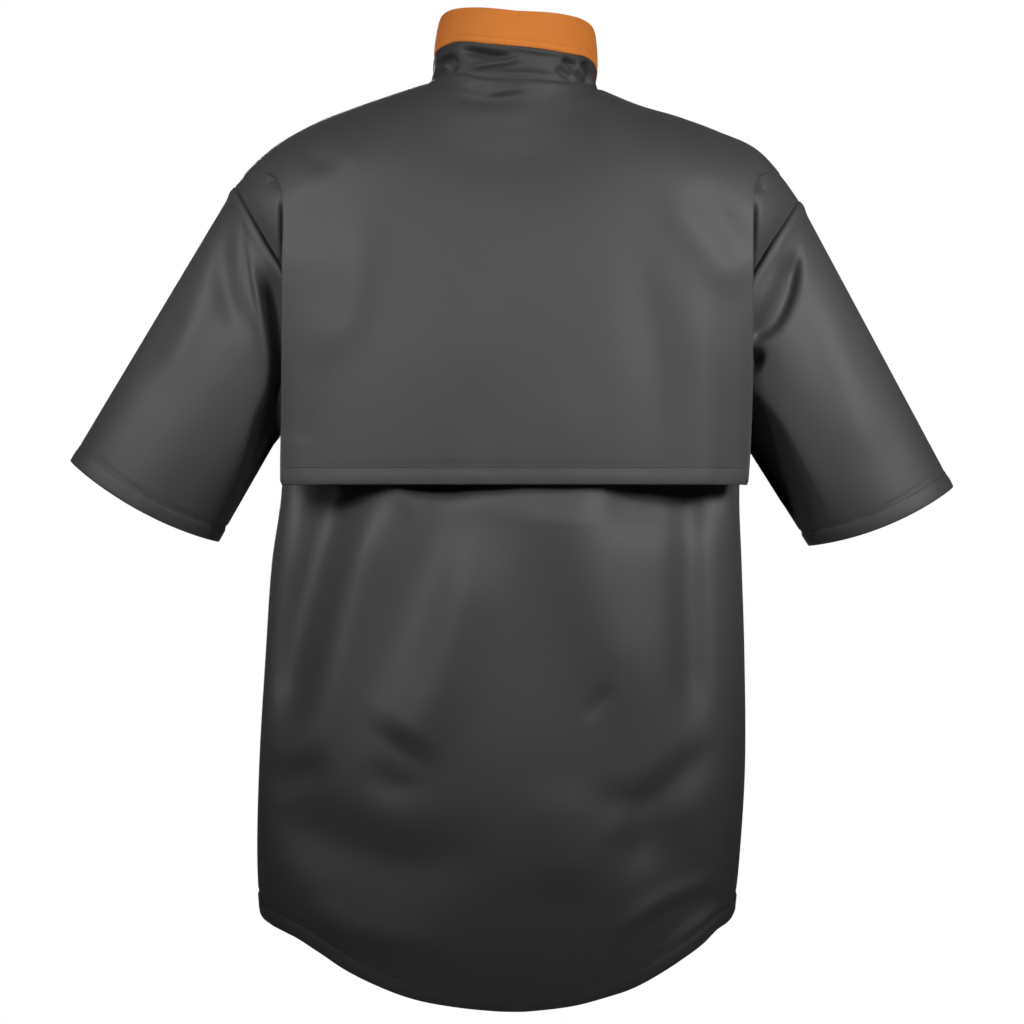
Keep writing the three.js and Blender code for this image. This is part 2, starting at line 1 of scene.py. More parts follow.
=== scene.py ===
import bpy
import math
import numpy as np
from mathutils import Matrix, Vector


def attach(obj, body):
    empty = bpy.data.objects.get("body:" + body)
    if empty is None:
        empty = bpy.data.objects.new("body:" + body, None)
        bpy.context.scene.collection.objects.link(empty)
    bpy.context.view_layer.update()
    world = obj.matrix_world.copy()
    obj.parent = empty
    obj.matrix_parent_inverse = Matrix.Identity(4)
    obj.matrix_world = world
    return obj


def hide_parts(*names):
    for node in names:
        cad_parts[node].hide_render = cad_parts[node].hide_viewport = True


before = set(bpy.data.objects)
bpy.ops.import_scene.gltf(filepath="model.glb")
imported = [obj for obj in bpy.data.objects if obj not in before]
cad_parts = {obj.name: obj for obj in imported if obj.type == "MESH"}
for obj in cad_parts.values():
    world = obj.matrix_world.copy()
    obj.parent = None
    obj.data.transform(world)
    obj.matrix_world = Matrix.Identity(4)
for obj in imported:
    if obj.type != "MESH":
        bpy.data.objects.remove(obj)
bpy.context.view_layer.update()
mm = 0.001  # the shapes below are worked out in millimetres and written in metres
print("frame loaded,", len(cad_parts), "nodes")


# Small helpers for shapes

def smoothStep(at, start, end):
    share = np.clip((np.asarray(at, float) - start) / (end - start), 0, 1)
    return share * share * (3 - 2 * share)


def mix(a, b, share):
    return a + (b - a) * share


def bell(at, middle, width):
    return np.exp(-((np.asarray(at, float) - middle) / width) ** 2)


def readTable(table, name, at):
    # a smooth curve through the rows of a table, level beyond both ends
    places, values = np.array(table["at"], float), np.array(table[name], float)
    at = np.clip(at, places[0], places[-1])
    secants = np.diff(values) / np.diff(places)
    slopes = np.concatenate([secants[:1], (secants[1:] + secants[:-1]) / 2, secants[-1:]])
    row = np.clip(np.searchsorted(places, at, side="right") - 1, 0, len(places) - 2)
    step = places[row + 1] - places[row]
    t = (at - places[row]) / step
    start = values[row] * (2 * t**3 - 3 * t**2 + 1) + values[row + 1] * (3 * t**2 - 2 * t**3)
    return start + step * (slopes[row] * (t**3 - 2 * t**2 + t) + slopes[row + 1] * (t**3 - t**2))


def smoothPath(corners, steps=10):
    # points along a rounded line through the corners
    corners = np.array(corners, float)
    padded = np.vstack([2 * corners[0] - corners[1], corners, 2 * corners[-1] - corners[-2]])
    points = []
    for a, b, c, d in zip(padded, padded[1:], padded[2:], padded[3:]):
        for t in np.arange(steps) / steps:
            points.append(0.5 * (2 * b + (c - a) * t + (2 * a - 5 * b + 4 * c - d) * t**2
                                 + (3 * b - a - 3 * c + d) * t**3))
    return np.array(points + [corners[-1]])


def foldLift(folds, x, z):
    # how far folds lift the cloth: out is the height, wide the half width on the left and right of
    # the path, sharp the steepness, ends how much of the path fades in and out, and ramp how steeply
    # the cloth falls away beyond the path, on its left or right
    lift = np.zeros(np.shape(x))
    for fold in folds:
        path = smoothPath(fold["path"])
        best = np.full(np.shape(x), 1e9)
        along = np.zeros(np.shape(x))
        aside = np.zeros(np.shape(x))
        count = len(path) - 1
        for number, (start, end) in enumerate(zip(path, path[1:])):
            run = end - start
            length = math.hypot(*run)
            dx, dz = x - start[0], z - start[1]
            share = np.clip((dx * run[0] + dz * run[1]) / length**2, 0, 1)
            gap = np.hypot(dx - share * run[0], dz - share * run[1])
            near = gap < best
            best = np.where(near, gap, best)
            along = np.where(near, (number + share) / count, along)
            aside = np.where(near, dx * run[1] - dz * run[0], aside)
        first, last = fold.get("ends", (0.3, 0.3))
        fade = smoothStep(along, -0.02, first) * (1 - smoothStep(along, 1 - last, 1.02))
        thin, thick = fold["wide"]
        spread = mix(1, fold.get("open", 1), along)
        width = np.where(aside > 0, thin, thick) * spread
        lift += fold["out"] * fade * np.exp(-(best / width) ** fold.get("sharp", 2))
        ramp = fold.get("ramp", 0)
        beyond = np.minimum(best, 45) * (aside * ramp > 0)
        lift -= abs(ramp) * fade * beyond**2 / (beyond + 4)
    return lift


# The jacket's own sizes, as in its solids
body = {
    "neckHalfWidth": 73, "neckBackDepth": 66, "neckFrontDepth": 82, "neckFrontDrop": 70, "neckTilt": 2.5,
    "tipReach": (244.6, 250), "tipDrop": (87.3, 99.6), "underarm": (303, 311),
    "shoulderTurn": 78, "napeTurn": 150, "napeStart": 44, "napeSpread": 40, "chestSpread": 131,
    "halfWidth": 210, "backDepth": 115, "frontDepth": 140, "backLength": 801, "sideLength": 723,
    "roundness": 2.5,
}
neckRounds = {
    "at": [0, 35, 65, 90, 130, 180],
    "rise": [0, 0.02, 0.04, 0.01, -0.55, -1],
    "tall": [1, 1, 0.93, 0.8, 0.86, 0.9],
}
shoulderLine = {
    "at": [0, 0.2, 0.4, 0.6, 0.8, 0.93, 1],
    "left": [0, 0.122, 0.253, 0.405, 0.625, 0.842, 1],
    "right": [0, 0.15, 0.257, 0.39, 0.563, 0.82, 1],
}
armholeLine = {
    "at": [0, 0.12, 0.25, 0.36, 0.6, 0.8, 0.93, 1],
    "left": [1, 0.937, 0.87, 0.813, 0.78, 0.782, 0.8, 0.82],
    "right": [1, 0.932, 0.86, 0.81, 0.785, 0.785, 0.79, 0.8],
    "underarm": [0, 0, 0, 0, 0, 0.15, 0.6, 1],
}
bodyLevels = {
    "at": [0.05, 0.12, 0.21, 0.3, 0.38, 0.445, 0.52, 0.62, 0.75, 0.85, 0.905, 1],
    "left": [1.33, 1.24, 1.1, 1.02, 0.972, 0.973, 1.012, 1.039, 1.067, 1.074, 1.064, 1.05],
    "right": [1.34, 1.26, 1.12, 1.02, 0.958, 0.943, 0.952, 0.964, 0.966, 0.942, 0.922, 0.91],
    "back": [0.86, 0.93, 0.98, 1.01, 1, 0.97, 0.95, 0.94, 0.98, 0.97, 0.93, 0.88],
    "front": [0.78, 0.86, 0.95, 1, 1.01, 1, 0.99, 0.98, 0.99, 1.01, 1.02, 1.03],
}


def sideValue(x, pair):
    return np.where(np.asarray(x) >= 0, pair[0], pair[1])


def sideTable(table, x, at):
    return np.where(np.asarray(x) >= 0, readTable(table, "left", at), readTable(table, "right", at))


def neckPoint(turn):
    # the neck seam at an angle from the centre back, positive to the wearer's left
    angle = np.radians(turn)
    depth = np.where(np.cos(angle) < 0, body["neckFrontDepth"], body["neckBackDepth"])
    rise = readTable(neckRounds, "rise", 180 - np.abs(180 - np.abs(turn)))
    z = body["neckFrontDrop"] * rise + body["neckTilt"] * np.sin(angle)
    return body["neckHalfWidth"] * np.sin(angle), depth * np.cos(angle), z


seamWaveTable = {
    "at": [-73, -54, -16, 22, 32, 41, 53, 62, 73],
    "rise": [-3, -1.6, 0, 0.3, 1.2, 3, 3.3, 0, -2],
}


def seamWave(x):
    return readTable(seamWaveTable, "rise", x) * (np.abs(x) < body["neckHalfWidth"] + 0.5)


def topLine(x, face):
    # where the body's cloth begins: the neck seam, and beyond it the shoulder seam
    neck = body["neckHalfWidth"]
    quarter = np.degrees(np.arcsin(np.clip(x / neck, -1, 1)))
    turn = quarter if face > 0 else np.where(x < 0, -1, 1) * 180 - quarter
    _, neckY, neckZ = neckPoint(turn)
    tip = sideValue(x, body["tipReach"])
    start = neckPoint(90.0)[2] * (x >= 0) + neckPoint(-90.0)[2] * (x < 0)
    drop = sideTable(shoulderLine, x, (np.abs(x) - neck) / (tip - neck))
    shoulderZ = mix(start, -sideValue(x, body["tipDrop"]), drop)
    inside = np.abs(x) < neck
    if face > 0:
        neckZ = neckZ + seamWave(x)
    return np.where(inside, neckY, 0), np.where(inside, neckZ, shoulderZ)


def halfWidthAt(x, z):
    return body["halfWidth"] * sideTable(bodyLevels, x, -z / body["backLength"])


def bodyDepth(x, z, face, flare=0.0, folds=()):
    down = -z / body["backLength"]
    share = np.minimum(np.abs(x) / (halfWidthAt(x, z) * (1 + flare)), 1)
    full = (1 - share ** body["roundness"]) ** (1 / body["roundness"])
    deepest = (body["backDepth"] * readTable(bodyLevels, "back", down) if face > 0
               else body["frontDepth"] * readTable(bodyLevels, "front", down))
    lift = foldLift(folds, x, z)
    out = (deepest + np.minimum(lift, lift * smoothStep(-z, 346, 385))) * full
    topY, topZ = topLine(x, face)
    spread = body["napeSpread"] if face > 0 else body["chestSpread"]
    nape = 1 - smoothStep(np.abs(x), body["napeStart"], body["napeStart"] + spread)
    fall = np.minimum((topZ - z) / mix(body["shoulderTurn"], body["napeTurn"], nape), 1)
    curved = np.sqrt(np.maximum(fall * (2 - fall), 0))
    sloped = np.sin(np.pi / 2 * np.maximum(fall, 0))
    return mix(np.abs(topY), out, mix(curved, sloped, nape))


def armholeReach(x, share):
    tips = sideValue(x, body["tipReach"]) * sideTable(armholeLine, x, share)
    level = sideValue(x, body["underarm"])
    under = halfWidthAt(x, -level)
    return mix(tips, under, readTable(armholeLine, "underarm", share))


# Cloth sheets: a grid of points from the top row down, with the directions out of the cloth

class Sheet:
    def __init__(self, points, outward, ring=False):
        self.points = np.array(points, float)
        self.ring = ring
        self.outward = outward
        self.normals = self.findNormals()

    def findNormals(self):
        down = np.gradient(self.points, axis=0)
        if self.ring:
            wrapped = np.concatenate([self.points[:, -2:-1], self.points, self.points[:, 1:2]], axis=1)
            along = (wrapped[:, 2:] - wrapped[:, :-2]) / 2
        else:
            along = np.gradient(self.points, axis=1)
        normals = np.cross(along, down)
        normals /= np.maximum(np.linalg.norm(normals, axis=2, keepdims=True), 1e-9)
        middle = self.points.shape[0] // 2, self.points.shape[1] // 4
        towards = self.outward(self.points[middle]) if callable(self.outward) else np.array(self.outward)
        return -normals if np.dot(normals[middle], towards) < 0 else normals

    def lift(self, height):
        self.points = self.points + self.normals * np.asarray(height)[..., None]
        self.normals = self.findNormals()
        return self

    def rowLengths(self):
        # how far each point lies from the top and from the first column, along the cloth
        steps = np.linalg.norm(np.diff(self.points, axis=0), axis=2)
        down = np.vstack([np.zeros(steps.shape[1]), np.cumsum(steps, axis=0)])
        steps = np.linalg.norm(np.diff(self.points, axis=1), axis=2)
        along = np.hstack([np.zeros((steps.shape[0], 1)), np.cumsum(steps, axis=1)])
        return along, down

    def sample(self, row, column):
        # points and directions between the grid's lines
        r = np.clip(np.floor(row).astype(int), 0, self.points.shape[0] - 2)
        c = np.clip(np.floor(column).astype(int), 0, self.points.shape[1] - 2)
        fr, fc = (row - r)[:, None], (column - c)[:, None]

        def read(grid):
            return mix(mix(grid[r, c], grid[r, c + 1], fc), mix(grid[r + 1, c], grid[r + 1, c + 1], fc), fr)
        normals = read(self.normals)
        return read(self.points), normals / np.linalg.norm(normals, axis=1, keepdims=True)


def turnHem(sheet, radius, depths):
    # rolls the last row under and runs the turned cloth back up inside, to each depth
    edge, out = sheet.points[-1], sheet.normals[-1]
    down = sheet.points[-1] - sheet.points[-2]
    down /= np.maximum(np.linalg.norm(down, axis=1, keepdims=True), 1e-9)
    rows = []
    for angle in np.radians([45, 90, 135, 180]):
        rows.append(edge - out * radius + radius * (out * math.cos(angle) + down * math.sin(angle)))
    lengths = sheet.rowLengths()[1]
    fromEdge = lengths[-1] - lengths
    for depth in depths:
        row = []
        for column in range(sheet.points.shape[1]):
            at = np.interp(depth, fromEdge[::-1, column], np.arange(len(lengths))[::-1])
            point, normal = sheet.sample(np.array([at]), np.array([float(column)]))
            row.append(point[0] - normal[0] * 2 * radius)
        rows.append(np.array(row))
    return np.vstack([sheet.points, np.array(rows)])


def selectOnly(piece):
    bpy.ops.object.select_all(action="DESELECT")
    piece.select_set(True)
    bpy.context.view_layer.objects.active = piece


def addSheet(name, points, normal, wall, ring=False):
    # a grid shaped to the points, with its UV map in metres of cloth, given a thickness inwards
    rows, columns = points.shape[0] - 1, points.shape[1] - 1
    bpy.ops.object.select_all(action="DESELECT")
    bpy.ops.mesh.primitive_grid_add(x_subdivisions=columns, y_subdivisions=rows, size=2)
    piece = bpy.context.object
    piece.name = piece.data.name = name
    mesh = piece.data
    mesh.vertices.foreach_set("co", (points * mm).ravel())
    along, down = Sheet(points, (0, 1, 0)).rowLengths()
    flat = np.stack([along - along[:, -1:] / 2, -down], axis=2).reshape(-1, 2) * mm
    corners = np.zeros(len(mesh.loops), int)
    mesh.loops.foreach_get("vertex_index", corners)
    mesh.uv_layers.active.data.foreach_set("uv", flat[corners].ravel())
    mesh.update()
    row, column = rows // 2, columns // 4
    face = mesh.polygons[row * columns + column]
    if np.dot(np.array(face.normal), normal) < 0:
        bpy.ops.object.mode_set(mode="EDIT")
        bpy.ops.mesh.select_all(action="SELECT")
        bpy.ops.mesh.flip_normals()
        bpy.ops.object.mode_set(mode="OBJECT")
    if ring:
        bpy.ops.object.mode_set(mode="EDIT")
        bpy.ops.mesh.select_all(action="SELECT")
        bpy.ops.mesh.remove_doubles(threshold=0.00002)
        bpy.ops.object.mode_set(mode="OBJECT")
    thick = piece.modifiers.new("wall", "SOLIDIFY")
    thick.thickness = wall * mm
    thick.offset = -1
    bpy.ops.object.modifier_apply(modifier="wall")
    bpy.ops.object.shade_smooth_by_angle(angle=math.radians(60))
    return piece


# Stitches: one is modelled, and each row is made of its copies

stitch = {"length": 2.6, "gap": 0.6, "width": 0.85, "height": 0.5}

bpy.ops.object.select_all(action="DESELECT")
bpy.ops.mesh.primitive_uv_sphere_add(segments=6, ring_count=4, radius=0.5)
oneStitch = bpy.context.object
stitchPoints = np.array([tuple(vertex.co) for vertex in oneStitch.data.vertices])
stitchPoints[:, :2] *= (1 + 0.25 * (1 - np.abs(stitchPoints[:, 2:]) * 2))
stitchFaces = [tuple(face.vertices) for face in oneStitch.data.polygons]
bpy.data.objects.remove(oneStitch)


def addStitches(name, points, normals, sizes=stitch):
    # lays stitches along a line on the cloth
    steps = np.linalg.norm(np.diff(points, axis=0), axis=1)
    run = np.concatenate([[0], np.cumsum(steps)])
    pitch = sizes["length"] + sizes["gap"]
    middles = np.arange(pitch / 2, run[-1], pitch)

    def place(at):
        return np.stack([np.interp(at, run, points[:, k]) for k in range(3)], axis=1)
    centre = place(middles)
    tangent = place(middles + 0.6) - place(middles - 0.6)
    tangent /= np.linalg.norm(tangent, axis=1, keepdims=True)
    up = np.stack([np.interp(middles, run, normals[:, k]) for k in range(3)], axis=1)
    side = np.cross(up, tangent)
    side /= np.linalg.norm(side, axis=1, keepdims=True)
    up = np.cross(tangent, side)
    vertices, faces = [], []
    for k in range(len(middles)):
        start = len(stitchPoints) * k
        local = (stitchPoints[:, 2:] * sizes["length"] * tangent[k] + stitchPoints[:, :1] * sizes["width"] * side[k]
                 + stitchPoints[:, 1:2] * sizes["height"] * up[k])
        vertices.append(centre[k] + up[k] * 0.05 + local)
        faces += [tuple(start + v for v in face) for face in stitchFaces]
    mesh = bpy.data.meshes.new(name)
    mesh.from_pydata((np.vstack(vertices) * mm).tolist(), [], faces)
    piece = bpy.data.objects.new(name, mesh)
    bpy.context.scene.collection.objects.link(piece)
    selectOnly(piece)
    bpy.ops.object.shade_smooth()
    return piece


def stitchHem(name, sheet, height, hemRow, sizes=stitch, firstColumn=0, lastColumn=None):
    # stitches at one height above the hem's edge
    lengths = sheet.rowLengths()[1]
    fromEdge = lengths[hemRow] - lengths[:hemRow + 1]
    last = sheet.points.shape[1] - 1 if lastColumn is None else lastColumn
    columns = np.arange(firstColumn, last + 1)
    rows = np.array([np.interp(height, fromEdge[::-1, c], np.arange(hemRow + 1)[::-1]) for c in columns])
    return addStitches(name, *sheet.sample(rows, columns.astype(float)), sizes)


# Materials

class Socket:
    # one socket of a node tree, for sums written out in Python
    def __init__(self, finish, socket):
        self.finish, self.socket = finish, socket

    def sum(self, operation, *terms):
        return self.finish.add("ShaderNodeMath", {"operation": operation}, dict(enumerate(terms)))

    def __add__(self, other):
        return self.sum("ADD", self, other)

    def __sub__(self, other):
        return self.sum("SUBTRACT", self, other)

    def __rsub__(self, other):
        return self.sum("SUBTRACT", other, self)

    def __mul__(self, other):
        return self.sum("MULTIPLY", self, other)

    def __pow__(self, other):
        return self.sum("POWER", self, other)

    __radd__ = __add__
    __rmul__ = __mul__


class Finish:
    # a material and the one way its nodes are added
    def __init__(self, name):
        self.material = bpy.data.materials.new(name)
        self.material.use_nodes = True
        self.tree = self.material.node_tree
        self.tree.nodes.clear()

    def add(self, kind, settings=None, sockets=None, output=0):
        node = self.tree.nodes.new(kind)
        for name, value in (settings or {}).items():
            if name == "stops":
                ramp = node.color_ramp.elements
                while len(ramp) < len(value):
                    ramp.new(0.5)
                for element, (position, colour) in zip(ramp, value):
                    element.position, element.color = position, colour
            else:
                setattr(node, name, value)
        for key, value in (sockets or {}).items():
            if isinstance(value, Socket):
                self.tree.links.new(value.socket, node.inputs[key])
            else:
                node.inputs[key].default_value = value
        return Socket(self, node.outputs[output])

    def noise(self, at, scale, detail=2.0, roughness=0.5):
        return self.add("ShaderNodeTexNoise", None, {"Vector": at, "Scale": scale, "Detail": detail,
                                                     "Roughness": roughness})

    def stretched(self, at, scale):
        return self.add("ShaderNodeMapping", None, {"Vector": at, "Scale": scale})

    def mixColours(self, share, a, b):
        return self.add("ShaderNodeMix", {"data_type": "RGBA"}, {0: share, 6: a, 7: b}, 2)

    def finishWith(self, sockets):
        shader = self.add("ShaderNodeBsdfPrincipled", None, sockets)
        output = self.tree.nodes.new("ShaderNodeOutputMaterial")
        self.tree.links.new(shader.socket, output.inputs["Surface"])
        return self.material


charcoal = {
    "base": (0.046, 0.0445, 0.044, 1), "deep": (0.035, 0.0338, 0.0335, 1),
    "threads": 2300, "roughness": 0.64, "sheen": 0.05, "shine": 0.5,
}


def makeCharcoal(name, look=charcoal):
    # sateen: fine lengthwise threads, a faint twill line and slow changes of depth in the dye
    finish = Finish(name)
    cloth = finish.add("ShaderNodeUVMap")
    warp = finish.noise(finish.stretched(cloth, (look["threads"], 190, 1)), 1.0, 1.0)
    weft = finish.noise(finish.stretched(cloth, (260, look["threads"], 1)), 1.0, 1.0)
    twill = finish.noise(finish.stretched(finish.add("ShaderNodeMapping", None, {
        "Vector": cloth, "Rotation": (0, 0, math.radians(62))}), (1500, 130, 1)), 1.0, 1.0)
    dye = finish.noise(cloth, 9.0, 3.0)
    handled = finish.noise(cloth, 46.0, 3.0, 0.6)
    depth = dye * 0.75 + handled * 0.35 + warp * 0.3 - 0.2
    colour = finish.mixColours(depth, look["deep"], look["base"])
    height = warp * 0.5 + weft * 0.25 + twill * 0.4
    bump = finish.add("ShaderNodeBump", None, {"Strength": 0.16, "Distance": 0.0003, "Height": height})
    return finish.finishWith({
        "Base Color": colour, "Roughness": look["roughness"] + 0.1 * (handled - 0.5) + 0.08 * (warp - 0.5),
        "Normal": bump, "Sheen Weight": look["sheen"], "Sheen Roughness": 0.4,
        "Sheen Tint": (0.8, 0.8, 0.82, 1), "Specular IOR Level": look["shine"],
    })


orange = {"base": (0.83, 0.27, 0.036, 1), "deep": (0.74, 0.19, 0.02, 1), "threads": 1500, "roughness": 0.68}


def makeOrange(name, look=orange):
    # plain weave, with the same slow changes of depth
    finish = Finish(name)
    cloth = finish.add("ShaderNodeUVMap")
    warp = finish.noise(finish.stretched(cloth, (look["threads"], 240, 1)), 1.0, 1.0)
    weft = finish.noise(finish.stretched(cloth, (240, look["threads"], 1)), 1.0, 1.0)
    dye = finish.noise(cloth, 24.0, 3.0)
    colour = finish.mixColours(dye * 0.9 + warp * 0.25 - 0.1, look["deep"], look["base"])
    bump = finish.add("ShaderNodeBump", None, {"Strength": 0.25, "Distance": 0.0004, "Height": warp + weft})
    return finish.finishWith({
        "Base Color": colour, "Roughness": look["roughness"] + 0.12 * (weft - 0.5), "Normal": bump,
        "Sheen Weight": 0.15, "Sheen Roughness": 0.5, "Specular IOR Level": 0.3,
    })


def makeThread(name, colour):
    finish = Finish(name)
    place = finish.add("ShaderNodeTexCoord", None, None, 3)
    ply = finish.noise(place, 2600.0, 1.0)
    shade = finish.mixColours(ply, tuple(0.75 * c for c in colour[:3]) + (1,), colour)
    bump = finish.add("ShaderNodeBump", None, {"Strength": 0.3, "Distance": 0.0002, "Height": ply})
    return finish.finishWith({"Base Color": shade, "Roughness": 0.5 + 0.1 * (ply - 0.5), "Normal": bump})


def makeSnapFinish(name):
    finish = Finish(name)
    place = finish.add("ShaderNodeTexCoord", None, None, 3)
    worn = finish.noise(place, 340.0, 3.0)
    colour = finish.mixColours(worn, (0.03, 0.03, 0.029, 1), (0.065, 0.064, 0.06, 1))
    bump = finish.add("ShaderNodeBump", None, {"Strength": 0.1, "Distance": 0.0002,
                                               "Height": finish.noise(place, 1800.0, 2.0)})
    return finish.finishWith({"Base Color": colour, "Roughness": 0.26 + 0.16 * worn, "Normal": bump,
                              "Metallic": 0.75, "Coat Weight": 0.2})


charcoalCloth = makeCharcoal("charcoalSateen")
orangeCloth = makeOrange("orangePlainWeave")
charcoalThread = makeThread("charcoalThread", (0.02, 0.0195, 0.019, 1))
orangeThread = makeThread("orangeThread", (0.9, 0.42, 0.12, 1))
snapEnamel = makeSnapFinish("darkSnapEnamel")
print("materials made")


def finishPiece(piece, material, slot, *nodes):
    piece.data.materials.clear()
    piece.data.materials.append(material)
    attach(piece, "root")
    if nodes:
        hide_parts(*nodes)
    return piece


# Back panel, from the shoulders under the cape to the curved tail

backPanel = {
    "columns": 180, "upperRows": 34, "lowerRows": 124, "wall": 0.7, "hemRadius": 0.9,
    "hemHeight": 14, "hemTurn": (4, 9, 14), "coveredDrop": 2,
}
tailLine = {  # the tail's edge: how far down at each share of the half width
    "at": [0, 0.054, 0.28, 0.405, 0.536, 0.663, 0.753, 0.849, 0.91, 0.965, 0.985, 1],
    "left": [801, 800.8, 795.5, 789.7, 779.2, 765.6, 752.8, 740.5, 734.9, 729.5, 726, 719],
    "right": [801, 800.8, 795.6, 789.5, 781.5, 769, 758.5, 746, 735.4, 729.5, 726, 720.5],
}
backFolds = [  # places in millimetres, seen from behind
    {"path": [(145, -313), (156, -364), (179, -450), (191, -501), (197, -544), (205, -580)],
     "wide": (24, 30), "out": -40, "ends": (0.02, 0.35), "open": 0.8},
    {"path": [(199, -313), (203, -364), (207, -415), (211, -450)],
     "wide": (9, 8), "out": 3, "ends": (0.02, 0.5)},
    {"path": [(110, -313), (125, -364), (147, -450), (164, -518), (185, -563), (216, -583)],
     "wide": (28, 20), "out": 11, "ends": (0.02, 0.25)},
    {"path": [(219, -605), (187, -602), (158, -580)], "wide": (12, 16), "out": -8, "ends": (0.1, 0.45)},
    {"path": [(59, -313), (63, -364), (72, -415), (96, -484), (111, -557)],
     "wide": (26, 28), "out": -9, "ends": (0.02, 0.5)},
    {"path": [(21, -381), (39, -441), (63, -518), (101, -576)],
     "wide": (30, 28), "out": 12, "ends": (0.4, 0.12)},
    {"path": [(128, -585), (104, -608), (63, -605)], "wide": (13, 15), "out": -5, "ends": (0.4, 0.5)},
    {"path": [(-35, -313), (-50, -381), (-84, -475), (-127, -580)],
     "wide": (48, 40), "out": 13, "ends": (0.02, 0.3)},
    {"path": [(-59, -556), (-84, -520)], "wide": (7, 7), "out": -3, "ends": (0.4, 0.4)},
    {"path": [(-56, -617), (-108, -622), (-151, -593), (-173, -561)],
     "wide": (15, 17), "out": -8, "ends": (0.4, 0.4)},
    {"path": [(-151, -313), (-151, -381), (-152, -484), (-154, -574)],
     "wide": (15, 16), "out": -12, "ends": (0.02, 0.25)},
    {"path": [(216, -631), (158, -657), (89, -677), (8, -653)],
     "wide": (30, 32), "out": -13, "ends": (0.15, 0.35)},
    {"path": [(-38, -595), (-43, -711)], "wide": (26, 26), "out": 6, "ends": (0.35, 0.35)},
    {"path": [(-86, -638), (-135, -670), (-163, -728)], "wide": (32, 30), "out": -12, "ends": (0.3, 0.2)},
    {"path": [(-77, -742), (-125, -709), (-183, -689)], "wide": (9, 9), "out": 4, "ends": (0.35, 0.2)},
    {"path": [(-108, -758), (-159, -720), (-187, -706)], "wide": (9, 10), "out": -4, "ends": (0.4, 0.2)},
    {"path": [(183, -711), (132, -732), (38, -749)], "wide": (16, 16), "out": 5, "ends": (0.3, 0.4)},
    {"path": [(201, -73), (199, -150), (199, -261)], "wide": (9, 9), "out": -16, "ends": (0.1, 0.2)},
    {"path": [(-204, -73), (-203, -150), (-203, -261)], "wide": (9, 9), "out": -16, "ends": (0.1, 0.2)},
    {"path": [(216, -345), (190, -347), (156, -354), (122, -345), (106, -338)],
     "wide": (32, 32), "out": -24, "ends": (0.3, 0.4)},
    {"path": [(115, -338), (29, -347), (-74, -338)], "wide": (14, 14), "out": -9, "ends": (0.1, 0.1)},
    {"path": [(-63, -342), (-108, -352), (-159, -354), (-192, -345)],
     "wide": (32, 32), "out": -24, "ends": (0.35, 0.25)},
]


def evenNape(depth, x, z, passes):
    # evens the depth along the rows below the neck seam, where the seam's ends would crease the cloth
    share = smoothStep(z[:1] - z, 3, 26) * (1 - smoothStep(np.abs(x), 112, 150)) * (1 - smoothStep(-z, 150, 220))
    for _ in range(passes):
        depth[:, 1:-1] += 0.5 * share[:, 1:-1] * ((depth[:, :-2] + depth[:, 2:]) / 2 - depth[:, 1:-1])
    return depth


def bodyGrid(u, v, face, hemOf, levels):
    # where a place on the panel lies seen from behind: u runs across, v down, levels says how v splits
    upper, spacing = levels
    tip = sideValue(u, body["tipReach"])
    topX = u * tip
    _, topZ = topLine(topX, face)
    under = mix(-body["underarm"][1], -body["underarm"][0], (u + 1) / 2)
    spread = np.sin(np.pi / 2 * np.abs(u))
    share = np.clip(v / upper, 0, 1) ** spacing
    ratio = mix(np.abs(u), spread, smoothStep(share, 0, 0.7))
    sign = np.where(u >= 0, 1.0, -1.0)
    below = np.clip((v - upper) / (1 - upper), 0, 1)
    z = np.where(v <= upper, mix(topZ, under, share), mix(under, hemOf(u, spread), below))
    x = np.where(v <= upper, sign * ratio * armholeReach(u, share), sign * spread * halfWidthAt(sign, z))
    return x, z


def tailHem(u, spread):
    return -np.where(u >= 0, readTable(tailLine, "left", spread), readTable(tailLine, "right", spread))


def hemPuff(sheet, height, seed=1.0):
    # the hem stands a little thick below its stitches, which pull the cloth in and pucker it
    along, down = sheet.rowLengths()
    fromEdge = down[-1] - down
    dent = -1.1 * bell(fromEdge, height, 1.7)
    puff = 0.6 * smoothStep(fromEdge, height + 1, height - 4)
    pucker = np.sin(along / 3.1 + 1.7 * np.sin(along / 17 + seed)) * 0.4 + np.sin(along / 6.3 + fromEdge / 8) * 0.6
    gathered = 0.25 + 0.75 * smoothStep(np.sin(along / 41 + 2 * seed), 0.1, 0.9)
    pulled = 0.62 * pucker * gathered * bell(fromEdge, height * 0.6, height * 0.7)
    return dent + puff + pulled


def makeBackPanel(look=backPanel):
    rows = look["upperRows"] + look["lowerRows"]
    u, v = np.meshgrid(np.linspace(-1, 1, look["columns"] + 1), np.linspace(0, 1, rows + 1))
    x, z = bodyGrid(u, v, 1, tailHem, (look["upperRows"] / rows, 1.4))
    covered = smoothStep(z[:1] - z, 4, 24) * (1 - smoothStep(np.abs(x), 150, 190)) * (1 - smoothStep(-z, 200, 300))
    y = evenNape(bodyDepth(x, z, 1, folds=backFolds), x, z, 120) - look["coveredDrop"] * covered
    sheet = Sheet(np.stack([x, y, z], axis=2), (0, 1, 0))
    sheet.lift(hemPuff(sheet, look["hemHeight"]))
    points = turnHem(sheet, look["hemRadius"], look["hemTurn"])
    piece = addSheet("backPanel", points, (0, 1, 0), look["wall"])
    finishPiece(piece, charcoalCloth, "charcoal_cloth", "back_panel")
    thread = stitchHem("backHemStitches", sheet, look["hemHeight"], rows)
    finishPiece(thread, charcoalThread, "charcoal_cloth")
    return sheet


backSheet = makeBackPanel()
print("back panel made")


# Cape: one sheet over shoulders and upper back, pleated down each side and free at its hem

